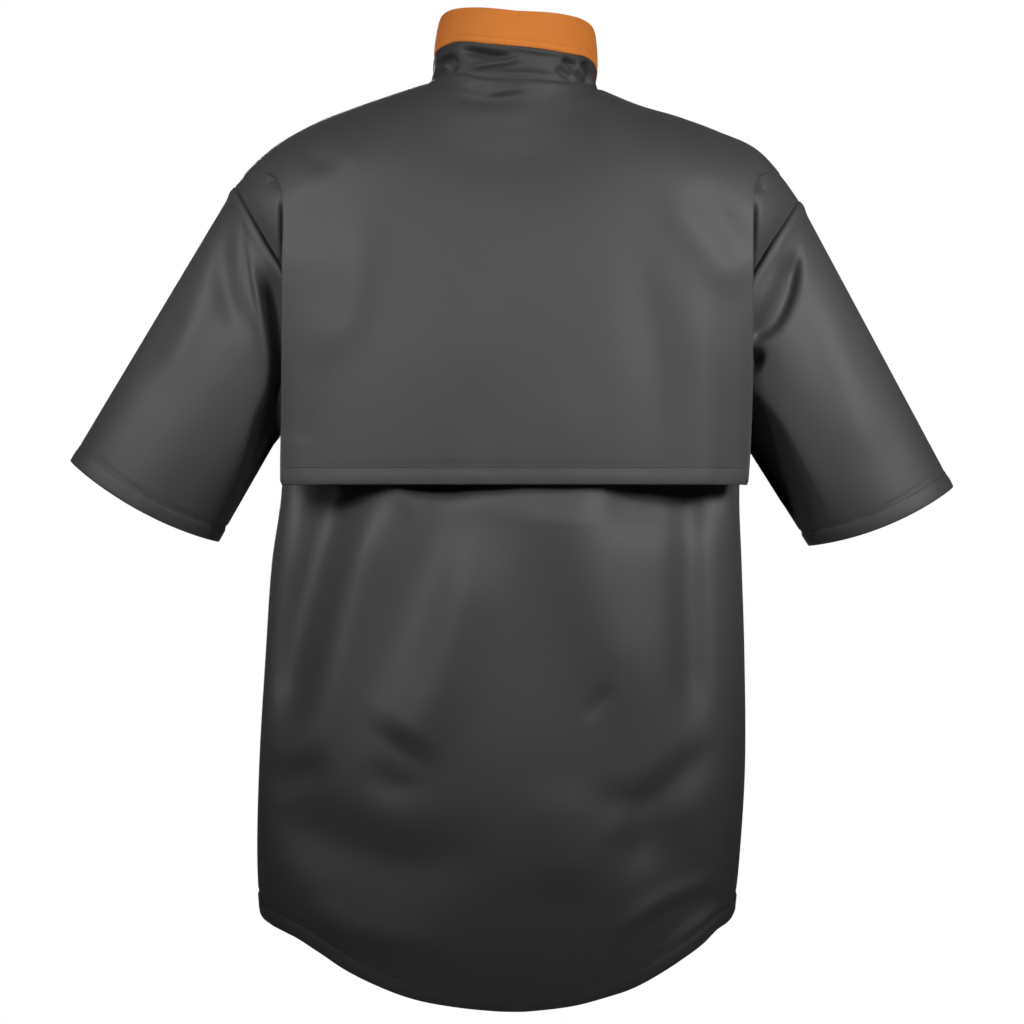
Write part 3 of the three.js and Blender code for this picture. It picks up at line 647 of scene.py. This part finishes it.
backCape = {
    "panelColumns": 150, "pleatColumns": 70, "rows": 96, "spacing": 1.25, "length": 350, "wall": 0.8,
    "flare": 0.1, "standoff": (2.6, 9.5), "pleatDepth": 44, "pleatFrom": 76, "pleatTo": 108, "foldRadius": 2.0,
    "hemRadius": 0.9, "hemHeight": 14, "hemTurn": (5, 10, 15), "seamDip": 1.4, "slotDepth": 7,
    "neckDip": 1.5, "startDip": 13,
}
capeEdge = {  # how far the folded edges stand from the middle, by how far down they are
    "at": [40, 84, 98, 165, 275, 330, 350],
    "left": [205, 204, 199, 197.5, 198.6, 199.8, 199.8],
    "right": [209, 208, 205.5, 203.6, 203.8, 202, 200.5],
}
capeFolds = [
    {"path": [(183, -47), (170, -71), (149, -66)], "wide": (11, 10), "out": -3, "ends": (0.3, 0.4)},
    {"path": [(151, -63), (127, -71)], "wide": (10, 10), "out": 1.6, "ends": (0.4, 0.4)},
    {"path": [(185, -95), (178, -119), (168, -160)], "wide": (13, 17), "out": -2.6, "ends": (0.35, 0.5)},
    {"path": [(122, -99), (139, -193), (173, -257)], "wide": (18, 22), "out": 4, "ends": (0.35, 0.35)},
    {"path": [(-104, -129), (-116, -218), (-122, -283), (-116, -355)],
     "wide": (18, 20), "out": -4, "ends": (0.35, 0.02)},
    {"path": [(-151, -158), (-163, -261), (-166, -355)], "wide": (16, 16), "out": 3, "ends": (0.4, 0.02)},
    {"path": [(-121, -90), (-159, -141), (-197, -189)], "wide": (15, 17), "out": 3, "ends": (0.35, 0.25)},
    {"path": [(-151, -86), (-178, -120), (-200, -160)], "wide": (14, 14), "out": -2.6, "ends": (0.35, 0.25)},
    {"path": [(81, -45), (12, -73), (-44, -54)], "wide": (14, 16), "out": -2.6, "ends": (0.3, 0.3)},
    {"path": [(-36, -25), (-80, -30)], "wide": (10, 12), "out": -2.4, "ends": (0.35, 0.35)},
    {"path": [(63, -14), (23, -19), (-17, -12)], "wide": (4, 5), "out": -3, "ends": (0.35, 0.4)},
    {"path": [(46, -6), (33, -10), (19, -7)], "wide": (2.6, 2.6), "out": -1.8, "ends": (0.3, 0.3)},
    {"path": [(26, -13), (5, -10), (-14, -8)], "wide": (3, 3), "out": 1.4, "ends": (0.3, 0.3)},
    {"path": [(63, -28), (12, -32), (-22, -27)], "wide": (8, 9), "out": 1.8, "ends": (0.35, 0.35)},
    {"path": [(183, -313), (158, -218), (145, -150)], "wide": (16, 16), "out": -2.6, "ends": (0.02, 0.4)},
    {"path": [(51, -355), (38, -295), (38, -227)], "wide": (22, 22), "out": -2.4, "ends": (0.02, 0.5)},
    {"path": [(-39, -355), (-44, -304), (-39, -244)], "wide": (22, 22), "out": 2.4, "ends": (0.02, 0.5)},
]


def makeBackCape(look=backCape):
    panel, pleat, rows = look["panelColumns"], look["pleatColumns"], look["rows"]
    share = (np.linspace(0, 1, rows + 1) ** look["spacing"])[:, None]

    def plain(x, z, low, high):
        # the cape's outer face over the back: it stands off more towards the hem
        flare = look["flare"] * smoothStep(-z, 87, 165)
        return bodyDepth(x, z, 1, flare) + mix(low, high, smoothStep(-z, 55, 190))

    def cloth(x, z, low, high):
        return plain(x, z, low, high) + foldLift(capeFolds, x, z)

    u = np.linspace(-1, 1, panel + 1)[None, :]
    topEdge = sideValue(u, (204.0, 208.5))
    topX = np.sin(np.pi / 2 * np.abs(u)) * topEdge * np.where(u >= 0, 1, -1)
    z = mix(topLine(topX, 1)[1], -look["length"], share)
    edge = sideTable(capeEdge, u + 0 * z, -z)
    x = np.sin(np.pi / 2 * np.abs(u)) * np.where(u >= 0, 1, -1) * edge
    y = evenNape(plain(x, z, *look["standoff"]), x, z, 90) + foldLift(capeFolds, x, z)
    y -= look["neckDip"] * (1 - smoothStep(z[:1] - z, 0.2, 3)) * (np.abs(x) < body["neckHalfWidth"] + 3)
    middle = np.stack([x, y, z], axis=2)

    def pleatGrid(sign):
        w = np.linspace(0, 1, pleat + 1)[None, 1:]
        tip = body["tipReach"][0 if sign > 0 else 1]
        top = mix(topEdge[0, -1] if sign > 0 else topEdge[0, 0], tip, w)
        end = mix(-look["length"], -body["underarm"][0 if sign > 0 else 1], w)
        z = mix(topLine(sign * top, 1)[1], end, share)
        fold = sideTable(capeEdge, sign + 0 * z, -z)
        arm = armholeReach(sign + 0 * z, np.clip(share + 0 * z, 0, 1))
        flatX = mix(fold, arm, w)
        flat = np.stack([sign * flatX, bodyDepth(sign * flatX, z, 1) + look["standoff"][0], z], axis=2)
        outer = cloth(sign * fold, z, *look["standoff"])
        r, deep = look["foldRadius"], look["pleatDepth"]
        roll = np.clip(w / 0.14, 0, 1) * np.pi
        back = np.clip((w - 0.14) / 0.26, 0, 1)
        turn = np.clip((w - 0.4) / 0.1, 0, 1) * np.pi
        run = np.clip((w - 0.5) / 0.5, 0, 1)
        inner = fold - deep
        foldX = np.where(w <= 0.14, fold + r * np.sin(roll), np.where(w <= 0.4, mix(fold, inner, back),
                         np.where(w <= 0.5, inner - 1.2 * np.sin(turn), mix(inner, arm, run))))
        under = bodyDepth(sign * np.minimum(foldX, arm), z, 1)
        returned = mix(outer - 2 * r, under + 4, smoothStep(back, 0, 1))
        foldY = np.where(w <= 0.14, outer - r * (1 - np.cos(roll)), np.where(w <= 0.4, returned,
                         np.where(w <= 0.5, under + 2.8 + 1.2 * np.cos(turn), under + 1.6)))
        cover = cloth(sign * np.minimum(foldX, fold), z, *look["standoff"])
        foldY = np.where((w > 0.1) & (foldX < fold + 0.5), np.minimum(foldY, cover - 1.4), foldY)
        seam = look["seamDip"] * smoothStep(w, 0.93, 1.0)
        slot = look["slotDepth"] * bell(foldX, fold + 1, 3.4) * (w > 0.5)
        slot = slot * smoothStep(-z, 98, 118) * (1 - 0.6 * smoothStep(-z, 120, 240))
        folded = np.stack([sign * foldX, foldY - seam - slot, z], axis=2)
        opened = smoothStep(-z, look["pleatFrom"], look["pleatTo"])
        flat[..., 1] -= look["startDip"] * opened * (1 - opened) * bell(w, 0.5, 0.28)
        return mix(flat, folded, opened[..., None])

    points = np.concatenate([pleatGrid(-1)[:, ::-1], middle, pleatGrid(1)], axis=1)
    sheet = Sheet(points, (0, 1, 0))
    onPanel = np.zeros(points.shape[1])
    onPanel[pleat:pleat + panel + 1] = 1
    sheet.lift(hemPuff(sheet, look["hemHeight"], seed=2.0) * onPanel)
    whole = turnHem(sheet, look["hemRadius"], look["hemTurn"])
    piece = addSheet("backCape", whole, (0, 1, 0), look["wall"])
    finishPiece(piece, charcoalCloth, "charcoal_cloth", "back_cape")
    thread = stitchHem("capeHemStitches", sheet, look["hemHeight"], rows, firstColumn=pleat + 1,
                       lastColumn=pleat + panel - 1)
    finishPiece(thread, charcoalThread, "charcoal_cloth")
    return sheet


capeSheet = makeBackCape()
print("cape made")


# Fronts, the wearer's left one over the right, with a snap placket

front = {
    "columns": 96, "upperRows": 54, "lowerRows": 84, "wall": 0.7, "lap": 16, "underLift": 3.2,
    "hemRadius": 0.9, "hemHeight": 14, "hemTurn": (5, 10, 15),
}
frontFolds = [
    {"path": [(146, -300), (128, -420), (104, -540)], "wide": (20, 24), "out": 6, "ends": (0.3, 0.3)},
    {"path": [(96, -250), (80, -380), (62, -500)], "wide": (18, 20), "out": -5, "ends": (0.3, 0.3)},
    {"path": [(-146, -300), (-126, -430), (-108, -545)], "wide": (22, 20), "out": 6, "ends": (0.3, 0.3)},
    {"path": [(-90, -260), (-76, -390), (-60, -510)], "wide": (18, 18), "out": -5, "ends": (0.3, 0.3)},
    {"path": [(170, -230), (120, -262), (90, -300)], "wide": (10, 14), "out": -4, "ends": (0.2, 0.5)},
    {"path": [(-172, -235), (-124, -270), (-92, -310)], "wide": (14, 10), "out": -4, "ends": (0.2, 0.5)},
]


def frontDepthAt(sign, x, z):
    under = front["underLift"] * smoothStep(x, -45, -front["lap"]) if sign < 0 else 0
    return -bodyDepth(x, z, -1, folds=frontFolds) + under


def makeFront(sign, name, node, look=front):
    rows = look["upperRows"] + look["lowerRows"]
    c, v = np.meshgrid(np.linspace(0, 1, look["columns"] + 1), np.linspace(0, 1, rows + 1))
    upper = look["upperRows"] / rows
    share = np.clip(v / upper, 0, 1) ** 1.25
    below = np.clip((v - upper) / (1 - upper), 0, 1)
    number = 0 if sign > 0 else 1
    lap = -look["lap"]
    near = np.cos(np.pi / 2 * c)
    topX = sign * mix(lap, body["tipReach"][number], near)
    under = -body["underarm"][number]
    z = np.where(v <= upper, mix(topLine(topX, -1)[1], under, share), mix(under, -body["sideLength"], below))
    arm = armholeReach(sign + 0 * c, share)
    reach = np.where(v <= upper, arm, halfWidthAt(sign + 0 * z, z))
    x = sign * mix(lap, reach, near)
    sheet = Sheet(np.stack([x, frontDepthAt(sign, x, z), z], axis=2), (0, -1, 0))
    sheet.lift(hemPuff(sheet, look["hemHeight"], seed=sign + 3.0))
    points = turnHem(sheet, look["hemRadius"], look["hemTurn"])
    piece = addSheet(name, points, (0, -1, 0), look["wall"])
    finishPiece(piece, charcoalCloth, "charcoal_cloth", node)
    thread = stitchHem(name + "HemStitches", sheet, look["hemHeight"], rows, lastColumn=look["columns"] - 2)
    finishPiece(thread, charcoalThread, "charcoal_cloth")
    return sheet


makeFront(1, "frontLeft", "front_left")
makeFront(-1, "frontRight", "front_right")
print("fronts made")

placketStrip = {"width": 38, "lift": 2.0, "wall": 0.9, "columns": 14, "rows": 130, "stitchInset": 4}


def makePlacket(look=placketStrip):
    right = -front["lap"]
    c, v = np.meshgrid(np.linspace(0, 1, look["columns"] + 1), np.linspace(0, 1, look["rows"] + 1))
    x = right + look["width"] * c
    z = mix(topLine(x, -1)[1], -body["sideLength"] + 0.5, v)
    edges = np.minimum(c, 1 - c) * look["width"]
    y = frontDepthAt(1, x, z) - look["lift"] * smoothStep(edges, -1.5, 2.2) + 0.4 * bell(edges, look["stitchInset"], 1.4)
    sheet = Sheet(np.stack([x, y, z], axis=2), (0, -1, 0))
    piece = addSheet("placketStrip", sheet.points, (0, -1, 0), look["wall"])
    finishPiece(piece, charcoalCloth, "charcoal_cloth", "placket")
    for side, name in ((look["stitchInset"], "placketStitchesRight"),
                       (look["width"] - look["stitchInset"], "placketStitchesLeft")):
        column = np.full(look["rows"] + 1, side / look["width"] * look["columns"])
        points, normals = sheet.sample(np.arange(look["rows"] + 1.0), column)
        finishPiece(addStitches(name, points[1:-1], normals[1:-1]), charcoalThread, "charcoal_cloth")
    return sheet


placketSheet = makePlacket()

snapCap = {"radius": 6.5, "sides": 28, "count": 6, "belowNeck": 45, "aboveHem": 108}


def makeSnaps(look=snapCap):
    # a pressed cap: straight rim, rounded shoulder and a shallow dish in the middle
    steps = [(0.05, 0.9), (0.35, 0.6), (0.7, 0.35), (1.0, -0.15), (0.9, -0.45), (0.9, -0.1), (1.2, 0.25)]
    top = neckPoint(180.0)[2] - look["belowNeck"]
    low = look["aboveHem"] - body["sideLength"]
    x = placketStrip["width"] / 2 - front["lap"]
    for number in range(1, look["count"] + 1):
        z = mix(top, low, (number - 1) / (look["count"] - 1))
        heights = placketSheet.points[:, placketStrip["columns"] // 2, 2]
        row = np.array([np.interp(-z, -heights, np.arange(len(heights)))])
        (place,), (normal,) = placketSheet.sample(row, np.array([placketStrip["columns"] / 2]))
        bpy.ops.object.select_all(action="DESELECT")
        bpy.ops.mesh.primitive_circle_add(vertices=look["sides"], radius=look["radius"] * mm, fill_type="NGON")
        cap = bpy.context.object
        cap.name = cap.data.name = f"snapCap{number}"
        bpy.ops.object.mode_set(mode="EDIT")
        bpy.ops.mesh.select_all(action="SELECT")
        for thickness, depth in steps:
            bpy.ops.mesh.inset(thickness=thickness * mm, depth=depth * mm)
        bpy.ops.object.mode_set(mode="OBJECT")
        if cap.data.polygons[-1].normal.z < 0:
            cap.data.flip_normals()
        edge = cap.modifiers.new("edge", "BEVEL")
        edge.width, edge.segments, edge.limit_method = 0.00012, 2, "ANGLE"
        bpy.ops.object.modifier_apply(modifier="edge")
        cap.rotation_euler = Vector(normal).to_track_quat("Z", "Y").to_euler()
        cap.location = Vector(place + normal * 0.1) * mm
        bpy.ops.object.transform_apply(location=True, rotation=True, scale=True)
        bpy.ops.object.shade_smooth_by_angle(angle=math.radians(40))
        finishPiece(cap, snapEnamel, "snap_metal", f"snap_{number}")


makeSnaps()
print("placket and snaps made")


# Sleeves, from the armhole to a turned hem

sleeve = {
    "columns": 150, "rows": 90, "wall": 0.8, "seamGap": 0.6, "forward": 8, "axisShare": 0.85, "hemDepth": 118,
    "hemSag": 8, "hemRadius": 0.9, "hemHeight": 14, "hemTurn": (5, 10, 15), "seamGroove": 9,
}
sleeveSides = {
    1: {"name": "sleeveLeft", "node": "sleeve_left", "out": 80.8, "down": 276.8, "hemWidth": 148, "tilt": 28.8},
    -1: {"name": "sleeveRight", "node": "sleeve_right", "out": 73.2, "down": 277.7, "hemWidth": 136.5, "tilt": 22.4},
}
sleeveFolds = {
    1: [
        {"path": [(237, -114), (232, -156), (227, -182), (220, -213)],
         "wide": (2.6, 3.4), "out": -3, "sharp": 1.5},
        {"path": [(229, -135), (217, -216), (206, -260)], "wide": (8, 7), "out": 4, "ends": (0.3, 0.3)},
        {"path": [(248, -114), (251, -173), (234, -229)], "wide": (11, 11), "out": -6, "ends": (0.35, 0.35)},
        {"path": [(229, -157), (215, -221), (215, -264), (229, -303), (253, -395)],
         "wide": (12, 12), "out": 1, "ends": (0.16, 0.2), "ramp": 1.8},
        {"path": [(281, -180), (297, -203), (316, -235), (329, -263)],
         "wide": (15, 13), "out": -3.4, "ends": (0.45, 0.35)},
        {"path": [(264, -147), (284, -216), (298, -277)], "wide": (14, 14), "out": 3, "ends": (0.4, 0.4)},
    ],
    -1: [
        {"path": [(-245, -138), (-242, -166), (-235, -192), (-222, -214), (-199, -225)],
         "wide": (5.5, 17), "out": -11, "ends": (0.3, 0.05)},
        {"path": [(-199, -239), (-215, -249)], "wide": (8, 8), "out": -13, "ends": (0.1, 0.4)},
        {"path": [(-227, -138), (-224, -173), (-210, -199)], "wide": (9, 9), "out": 2, "ends": (0.3, 0.3)},
        {"path": [(-198, -260), (-229, -293), (-251, -331), (-281, -390)],
         "wide": (14, 14), "out": 1, "ends": (0.1, 0.26), "ramp": -1.7},
        {"path": [(-261, -190), (-291, -268), (-317, -338)], "wide": (18, 18), "out": 3, "ends": (0.4, 0.3)},
    ],
}


def makeSleeve(sign, look=sleeve):
    own = sleeveSides[sign]
    number = 0 if sign > 0 else 1
    tip, drop, under = body["tipReach"][number], body["tipDrop"][number], body["underarm"][number]
    half = look["columns"] // 2
    shares = np.linspace(0, 1, 201) ** 1.2

    def halfLoop(face):
        z = -mix(drop, under, shares)
        x = sign * armholeReach(sign + 0 * shares, shares)
        y = face * bodyDepth(x, z, face)
        line = np.stack([x + sign * look["seamGap"], y, z], axis=1)
        run = np.concatenate([[0], np.cumsum(np.linalg.norm(np.diff(line, axis=0), axis=1))])
        even = np.linspace(0, run[-1], half + 1)
        return np.stack([np.interp(even, run, line[:, k]) for k in range(3)], axis=1)
    loop = np.vstack([halfLoop(1), halfLoop(-1)[::-1][1:]])
    turn = np.concatenate([np.linspace(0, 0.5, half + 1), np.linspace(0.5, 1, half + 1)[1:]]) * 2 * np.pi
    tilt = math.radians(own["tilt"])
    middle = np.array([sign * (tip + own["out"]), -look["forward"], -drop - own["down"]])
    halfHem = np.array([sign * math.cos(tilt), 0, math.sin(tilt)]) * own["hemWidth"] / 2
    hem = middle + np.cos(turn)[:, None] * halfHem
    hem[:, 1] += look["hemDepth"] / 2 * np.sin(turn)
    hem[:, 2] -= look["hemSag"] * np.sin(turn) ** 2
    share = np.linspace(0, 1, look["rows"] + 1)[:, None, None] ** 1.3
    points = mix(loop[None], hem[None], share)
    start = np.array([sign * tip * look["axisShare"], 0, -mix(drop, under, 0.5)])

    def outward(point):
        along = (start[2] - point[2]) / (start[2] - middle[2])
        return point - mix(start, middle, along)
    sheet = Sheet(points, outward, ring=True)
    x, z = sheet.points[..., 0], sheet.points[..., 2]
    behind = smoothStep(np.sin(turn), 0.02, 0.35)[None, :]
    free = smoothStep(share[..., 0], 0.0, 0.12)
    off = share[..., 0] * np.linalg.norm(hem - loop, axis=1)[None, :]
    groove = mix(1.4, look["seamGroove"], smoothStep(np.abs(np.sin(turn)), 0.1, 0.4))[None, :]
    rim = groove * (1 - smoothStep(off, 0, 2.4)) - 1.3 * bell(off, 7, 5)
    sheet.points[..., 1] += foldLift(sleeveFolds[sign], x, z) * behind * free
    sheet.lift(-rim)
    sheet.lift(hemPuff(sheet, look["hemHeight"], seed=sign + 5.0))
    whole = turnHem(sheet, look["hemRadius"], look["hemTurn"])
    normal = sheet.normals[look["rows"] // 2, look["columns"] // 4]
    piece = addSheet(own["name"], whole, normal, look["wall"], ring=True)
    finishPiece(piece, charcoalCloth, "charcoal_cloth", own["node"])
    thread = stitchHem(own["name"] + "HemStitches", sheet, look["hemHeight"], look["rows"])
    finishPiece(thread, charcoalThread, "charcoal_cloth")
    return sheet


for sign in (1, -1):
    makeSleeve(sign)
print("sleeves made")


# Collar: a wrinkled stand below and a stiffer band above

collar = {
    "height": 58, "topShare": 0.93, "sway": 2.7, "tilt": 2.5, "columns": 240, "lap": 12.7,
    "under": 4, "seat": 0.4, "standRows": 26, "bandRows": 22, "standProud": 0.6, "bandProud": 1.6,
}
bandLine = {  # how high the band begins, as a share of the collar's height, by the turn from the centre back
    "at": [-193, -110, -92, -78, -62, -40, 0, 40, 62, 90, 193],
    "share": [0.44, 0.36, 0.33, 0.4, 0.45, 0.45, 0.5, 0.51, 0.5, 0.47, 0.46],
}
standFolds = [
    {"path": [(70, 14), (62, 20), (54, 20), (51, 8)], "wide": (2.6, 2.6), "out": -5, "ends": (0.2, 0.2)},
    {"path": [(61, 15), (57, 12)], "wide": (2.8, 2.8), "out": 2.4, "ends": (0.1, 0.1)},
    {"path": [(48, 27), (24, 22), (-2, 18)], "wide": (3.4, 3.2), "out": -6.5, "ends": (0.35, 0.35)},
    {"path": [(42, 10), (14, 14), (-10, 19)], "wide": (3.0, 3.0), "out": 3, "ends": (0.3, 0.3)},
    {"path": [(10, 29), (-14, 25), (-46, 22)], "wide": (2.4, 2.4), "out": 1.6, "ends": (0.3, 0.3)},
    {"path": [(-42, 18), (-56, 13)], "wide": (2.6, 2.2), "out": -5, "ends": (0.2, 0.35)},
    {"path": [(-48, 13), (-66, -3)], "wide": (1.8, 1.8), "out": -2.8, "ends": (0.2, 0.2)},
    {"path": [(-61, 19), (-66, 8), (-67, -3)], "wide": (2.4, 2.4), "out": -8, "ends": (0.15, 0.2)},
    {"path": [(-36, 11), (-53, 1)], "wide": (3.4, 3.6), "out": -2.8, "ends": (0.3, 0.3)},
    {"path": [(30, 3), (-8, 5), (-40, 2)], "wide": (3.2, 3.2), "out": -1.6, "ends": (0.3, 0.3)},
]


def collarPlace(turn, share, proud):
    seamX, seamY, seamZ = neckPoint(turn)
    seamZ = seamZ + seamWave(seamX) * (np.cos(np.radians(turn)) > 0)
    tall = readTable(neckRounds, "tall", 180 - np.abs(180 - np.abs(turn)))
    depth = np.where(seamY < 0, body["neckFrontDepth"], body["neckBackDepth"])
    outX, outY = seamX / body["neckHalfWidth"] ** 2, seamY / depth ** 2
    size = np.hypot(outX, outY)
    under = collar["under"] * smoothStep(-turn, 140, 166)
    lift = proud - collar["seat"] - under
    lean = mix(1, collar["topShare"], share)
    x = seamX * lean - collar["sway"] * share + outX / size * lift
    y = seamY * lean + outY / size * lift
    rise = collar["height"] * tall + collar["tilt"] * seamX / body["neckHalfWidth"]
    whole = neckPoint(turn)[2]
    return np.stack([x, y, mix(seamZ, whole + rise, share)], axis=-1)


def makeCollar(look=collar):
    end = 180 + look["lap"]
    turn = np.linspace(-end, end, look["columns"] + 1)[None, :]
    line = readTable(bandLine, "share", turn)
    rows = np.linspace(1, 0, look["standRows"] + 1)[:, None]
    stand = Sheet(collarPlace(turn, rows * (line + 0.04) + 0 * turn, look["standProud"]), (0, 1, 0))
    behind = smoothStep(np.cos(np.radians(turn)), 0.0, 0.3)
    crease = foldLift(standFolds, stand.points[..., 0], stand.points[..., 2]) * behind
    side = 1.3 * np.sin(turn / 9.0 + 5 * rows) * (1 - behind) * np.sin(np.pi * rows)
    stand.normals = stand.findNormals() * np.sign(np.sum(stand.findNormals()[:, :, :2] * np.stack(
        [stand.points[..., 0], stand.points[..., 1]], axis=2), axis=2, keepdims=True))
    stand.points = stand.points + stand.normals * (crease + side)[..., None]
    piece = addSheet("collarStand", stand.points, stand.normals[look["standRows"] // 2, look["columns"] // 4], 0.9)
    finishPiece(piece, charcoalCloth, "charcoal_cloth", "collar_stand")

    rows = np.linspace(0, 1, look["bandRows"] + 1)[:, None]
    face = collarPlace(turn, mix(line, 1.0, rows), look["bandProud"] + 0.9 * np.sin(np.pi * rows) ** 0.7)
    dent = bell(rows, 0.13, 0.035)
    out = face - np.array([0, 0, 1]) * face
    out[..., 2] = 0
    out /= np.linalg.norm(out, axis=2, keepdims=True)
    face = face - out * 0.5 * dent[..., None]
    over = []
    for angle in np.radians([40, 90, 140, 180]):
        over.append(face[-1] - out[-1] * 1.5 * (1 - math.cos(angle)) + np.array([0, 0, 1.5 * math.sin(angle)]))
    inside = [face[k] - out[k] * 3.2 for k in range(look["bandRows"] - 3, -1, -4)]
    under = [face[0] - out[0] * 1.1 * (1 - math.cos(a)) - np.array([0, 0, 1.1 * math.sin(a)])
             for a in np.radians([180, 120, 60])]
    whole = np.vstack([np.array(under), face, np.array(over), np.array(inside)])
    band = Sheet(whole, out[look["bandRows"] // 2, look["columns"] // 4])
    piece = addSheet("collarBand", whole, out[look["bandRows"] // 2, look["columns"] // 4], 0.6)
    finishPiece(piece, orangeCloth, "orange_cloth", "collar_band")
    columns = np.arange(2.0, look["columns"] - 1)
    row = np.full(len(columns), 0.13 * look["bandRows"] + len(under))
    points, normals = band.sample(row, columns)
    flatOut = out[look["bandRows"] // 2][columns.astype(int)]
    normals *= np.sign(np.sum(normals * flatOut, axis=1, keepdims=True))
    thread = addStitches("bandLowerStitches", points, normals, {**stitch, "length": 2.2, "width": 0.5})
    finishPiece(thread, orangeThread, "orange_cloth")


makeCollar()
print("collar made")


# Stage, lights and camera

stageLook = {"floorZ": -1.1, "floorSize": 4.2, "fadeFrom": 1.1, "fadeTo": 2.05}

bpy.ops.object.select_all(action="DESELECT")
bpy.ops.mesh.primitive_plane_add(size=stageLook["floorSize"], location=(0, 0, stageLook["floorZ"]))
floor = bpy.context.object
floor.name = "paleFloor"
bpy.ops.object.transform_apply(location=True)
floorFinish = Finish("palePaper")
seenOnly = floorFinish.add("ShaderNodeLightPath")
glow = floorFinish.mixColours(seenOnly, (0, 0, 0, 1), (0.72, 0.72, 0.72, 1))
place = floorFinish.add("ShaderNodeTexCoord", None, None, 3)
flatPlace = floorFinish.add("ShaderNodeVectorMath", {"operation": "MULTIPLY"}, {0: place, 1: (1, 1, 0)})
radius = floorFinish.add("ShaderNodeVectorMath", {"operation": "LENGTH"}, {0: flatPlace}, 1)
fade = floorFinish.add("ShaderNodeMapRange", {"interpolation_type": "SMOOTHSTEP"}, {
    0: radius, 1: stageLook["fadeFrom"], 2: stageLook["fadeTo"], 3: 1.0, 4: 0.0})
floor.data.materials.append(floorFinish.finishWith({
    "Base Color": (0.86, 0.86, 0.86, 1), "Roughness": 0.8, "Alpha": fade,
    "Emission Color": glow, "Emission Strength": 1.0}))


def addLight(name, place, aim, size, power, spread=180):
    lamp = bpy.data.lights.new(name, "AREA")
    lamp.shape, lamp.size, lamp.energy, lamp.spread = "DISK", size, power, math.radians(spread)
    light = bpy.data.objects.new(name, lamp)
    light.location = place
    light.rotation_euler = (Vector(aim) - Vector(place)).to_track_quat("-Z", "Y").to_euler()
    bpy.context.scene.collection.objects.link(light)


addLight("softLeft", (1.62, 1.25, 0.6), (0.29, 0.05, -0.2), 0.6, 0.92, 28)
addLight("softRight", (-1.62, 1.25, 0.6), (-0.29, 0.05, -0.2), 0.6, 1.36, 28)
addLight("nearLeft", (1.2, 2.2, 0.5), (0.12, 0.1, -0.21), 0.6, 0.5, 22)
addLight("nearRight", (-1.2, 2.2, 0.5), (-0.12, 0.1, -0.21), 0.6, 0.46, 22)
addLight("softTop", (0, 1.0, 1.5), (0, 0.1, -0.3), 0.9, 0.1, 60)
addLight("softFront", (0.45, -3.2, 0.2), (0, 0, -0.35), 1.2, 9, 44)

world = bpy.data.worlds.new("paleRoom")
bpy.context.scene.world = world
world.use_nodes = True
nodes, links = world.node_tree.nodes, world.node_tree.links
nodes.clear()
rays = nodes.new("ShaderNodeLightPath")
seen, lit = nodes.new("ShaderNodeBackground"), nodes.new("ShaderNodeBackground")
seen.inputs["Strength"].default_value = 1.0
seen.inputs["Color"].default_value = (1, 1, 1, 1)
lit.inputs["Color"].default_value = (1, 1, 1, 1)
lit.inputs["Strength"].default_value = 0.012
both, output = nodes.new("ShaderNodeMixShader"), nodes.new("ShaderNodeOutputWorld")
links.new(rays.outputs["Is Camera Ray"], both.inputs[0])
links.new(lit.outputs[0], both.inputs[1])
links.new(seen.outputs[0], both.inputs[2])
links.new(both.outputs[0], output.inputs["Surface"])
bpy.context.scene.view_settings.view_transform = "Standard"

camera = bpy.data.objects.new("camera", bpy.data.cameras.new("camera"))
camera.data.sensor_width, camera.data.lens = 36, 143.82
camera.location = (0.00176, 3.6, -0.3742)
camera.rotation_euler = (math.radians(90), 0, math.radians(180))
bpy.context.scene.collection.objects.link(camera)
bpy.context.scene.camera = camera
print("stage, lights and camera made")
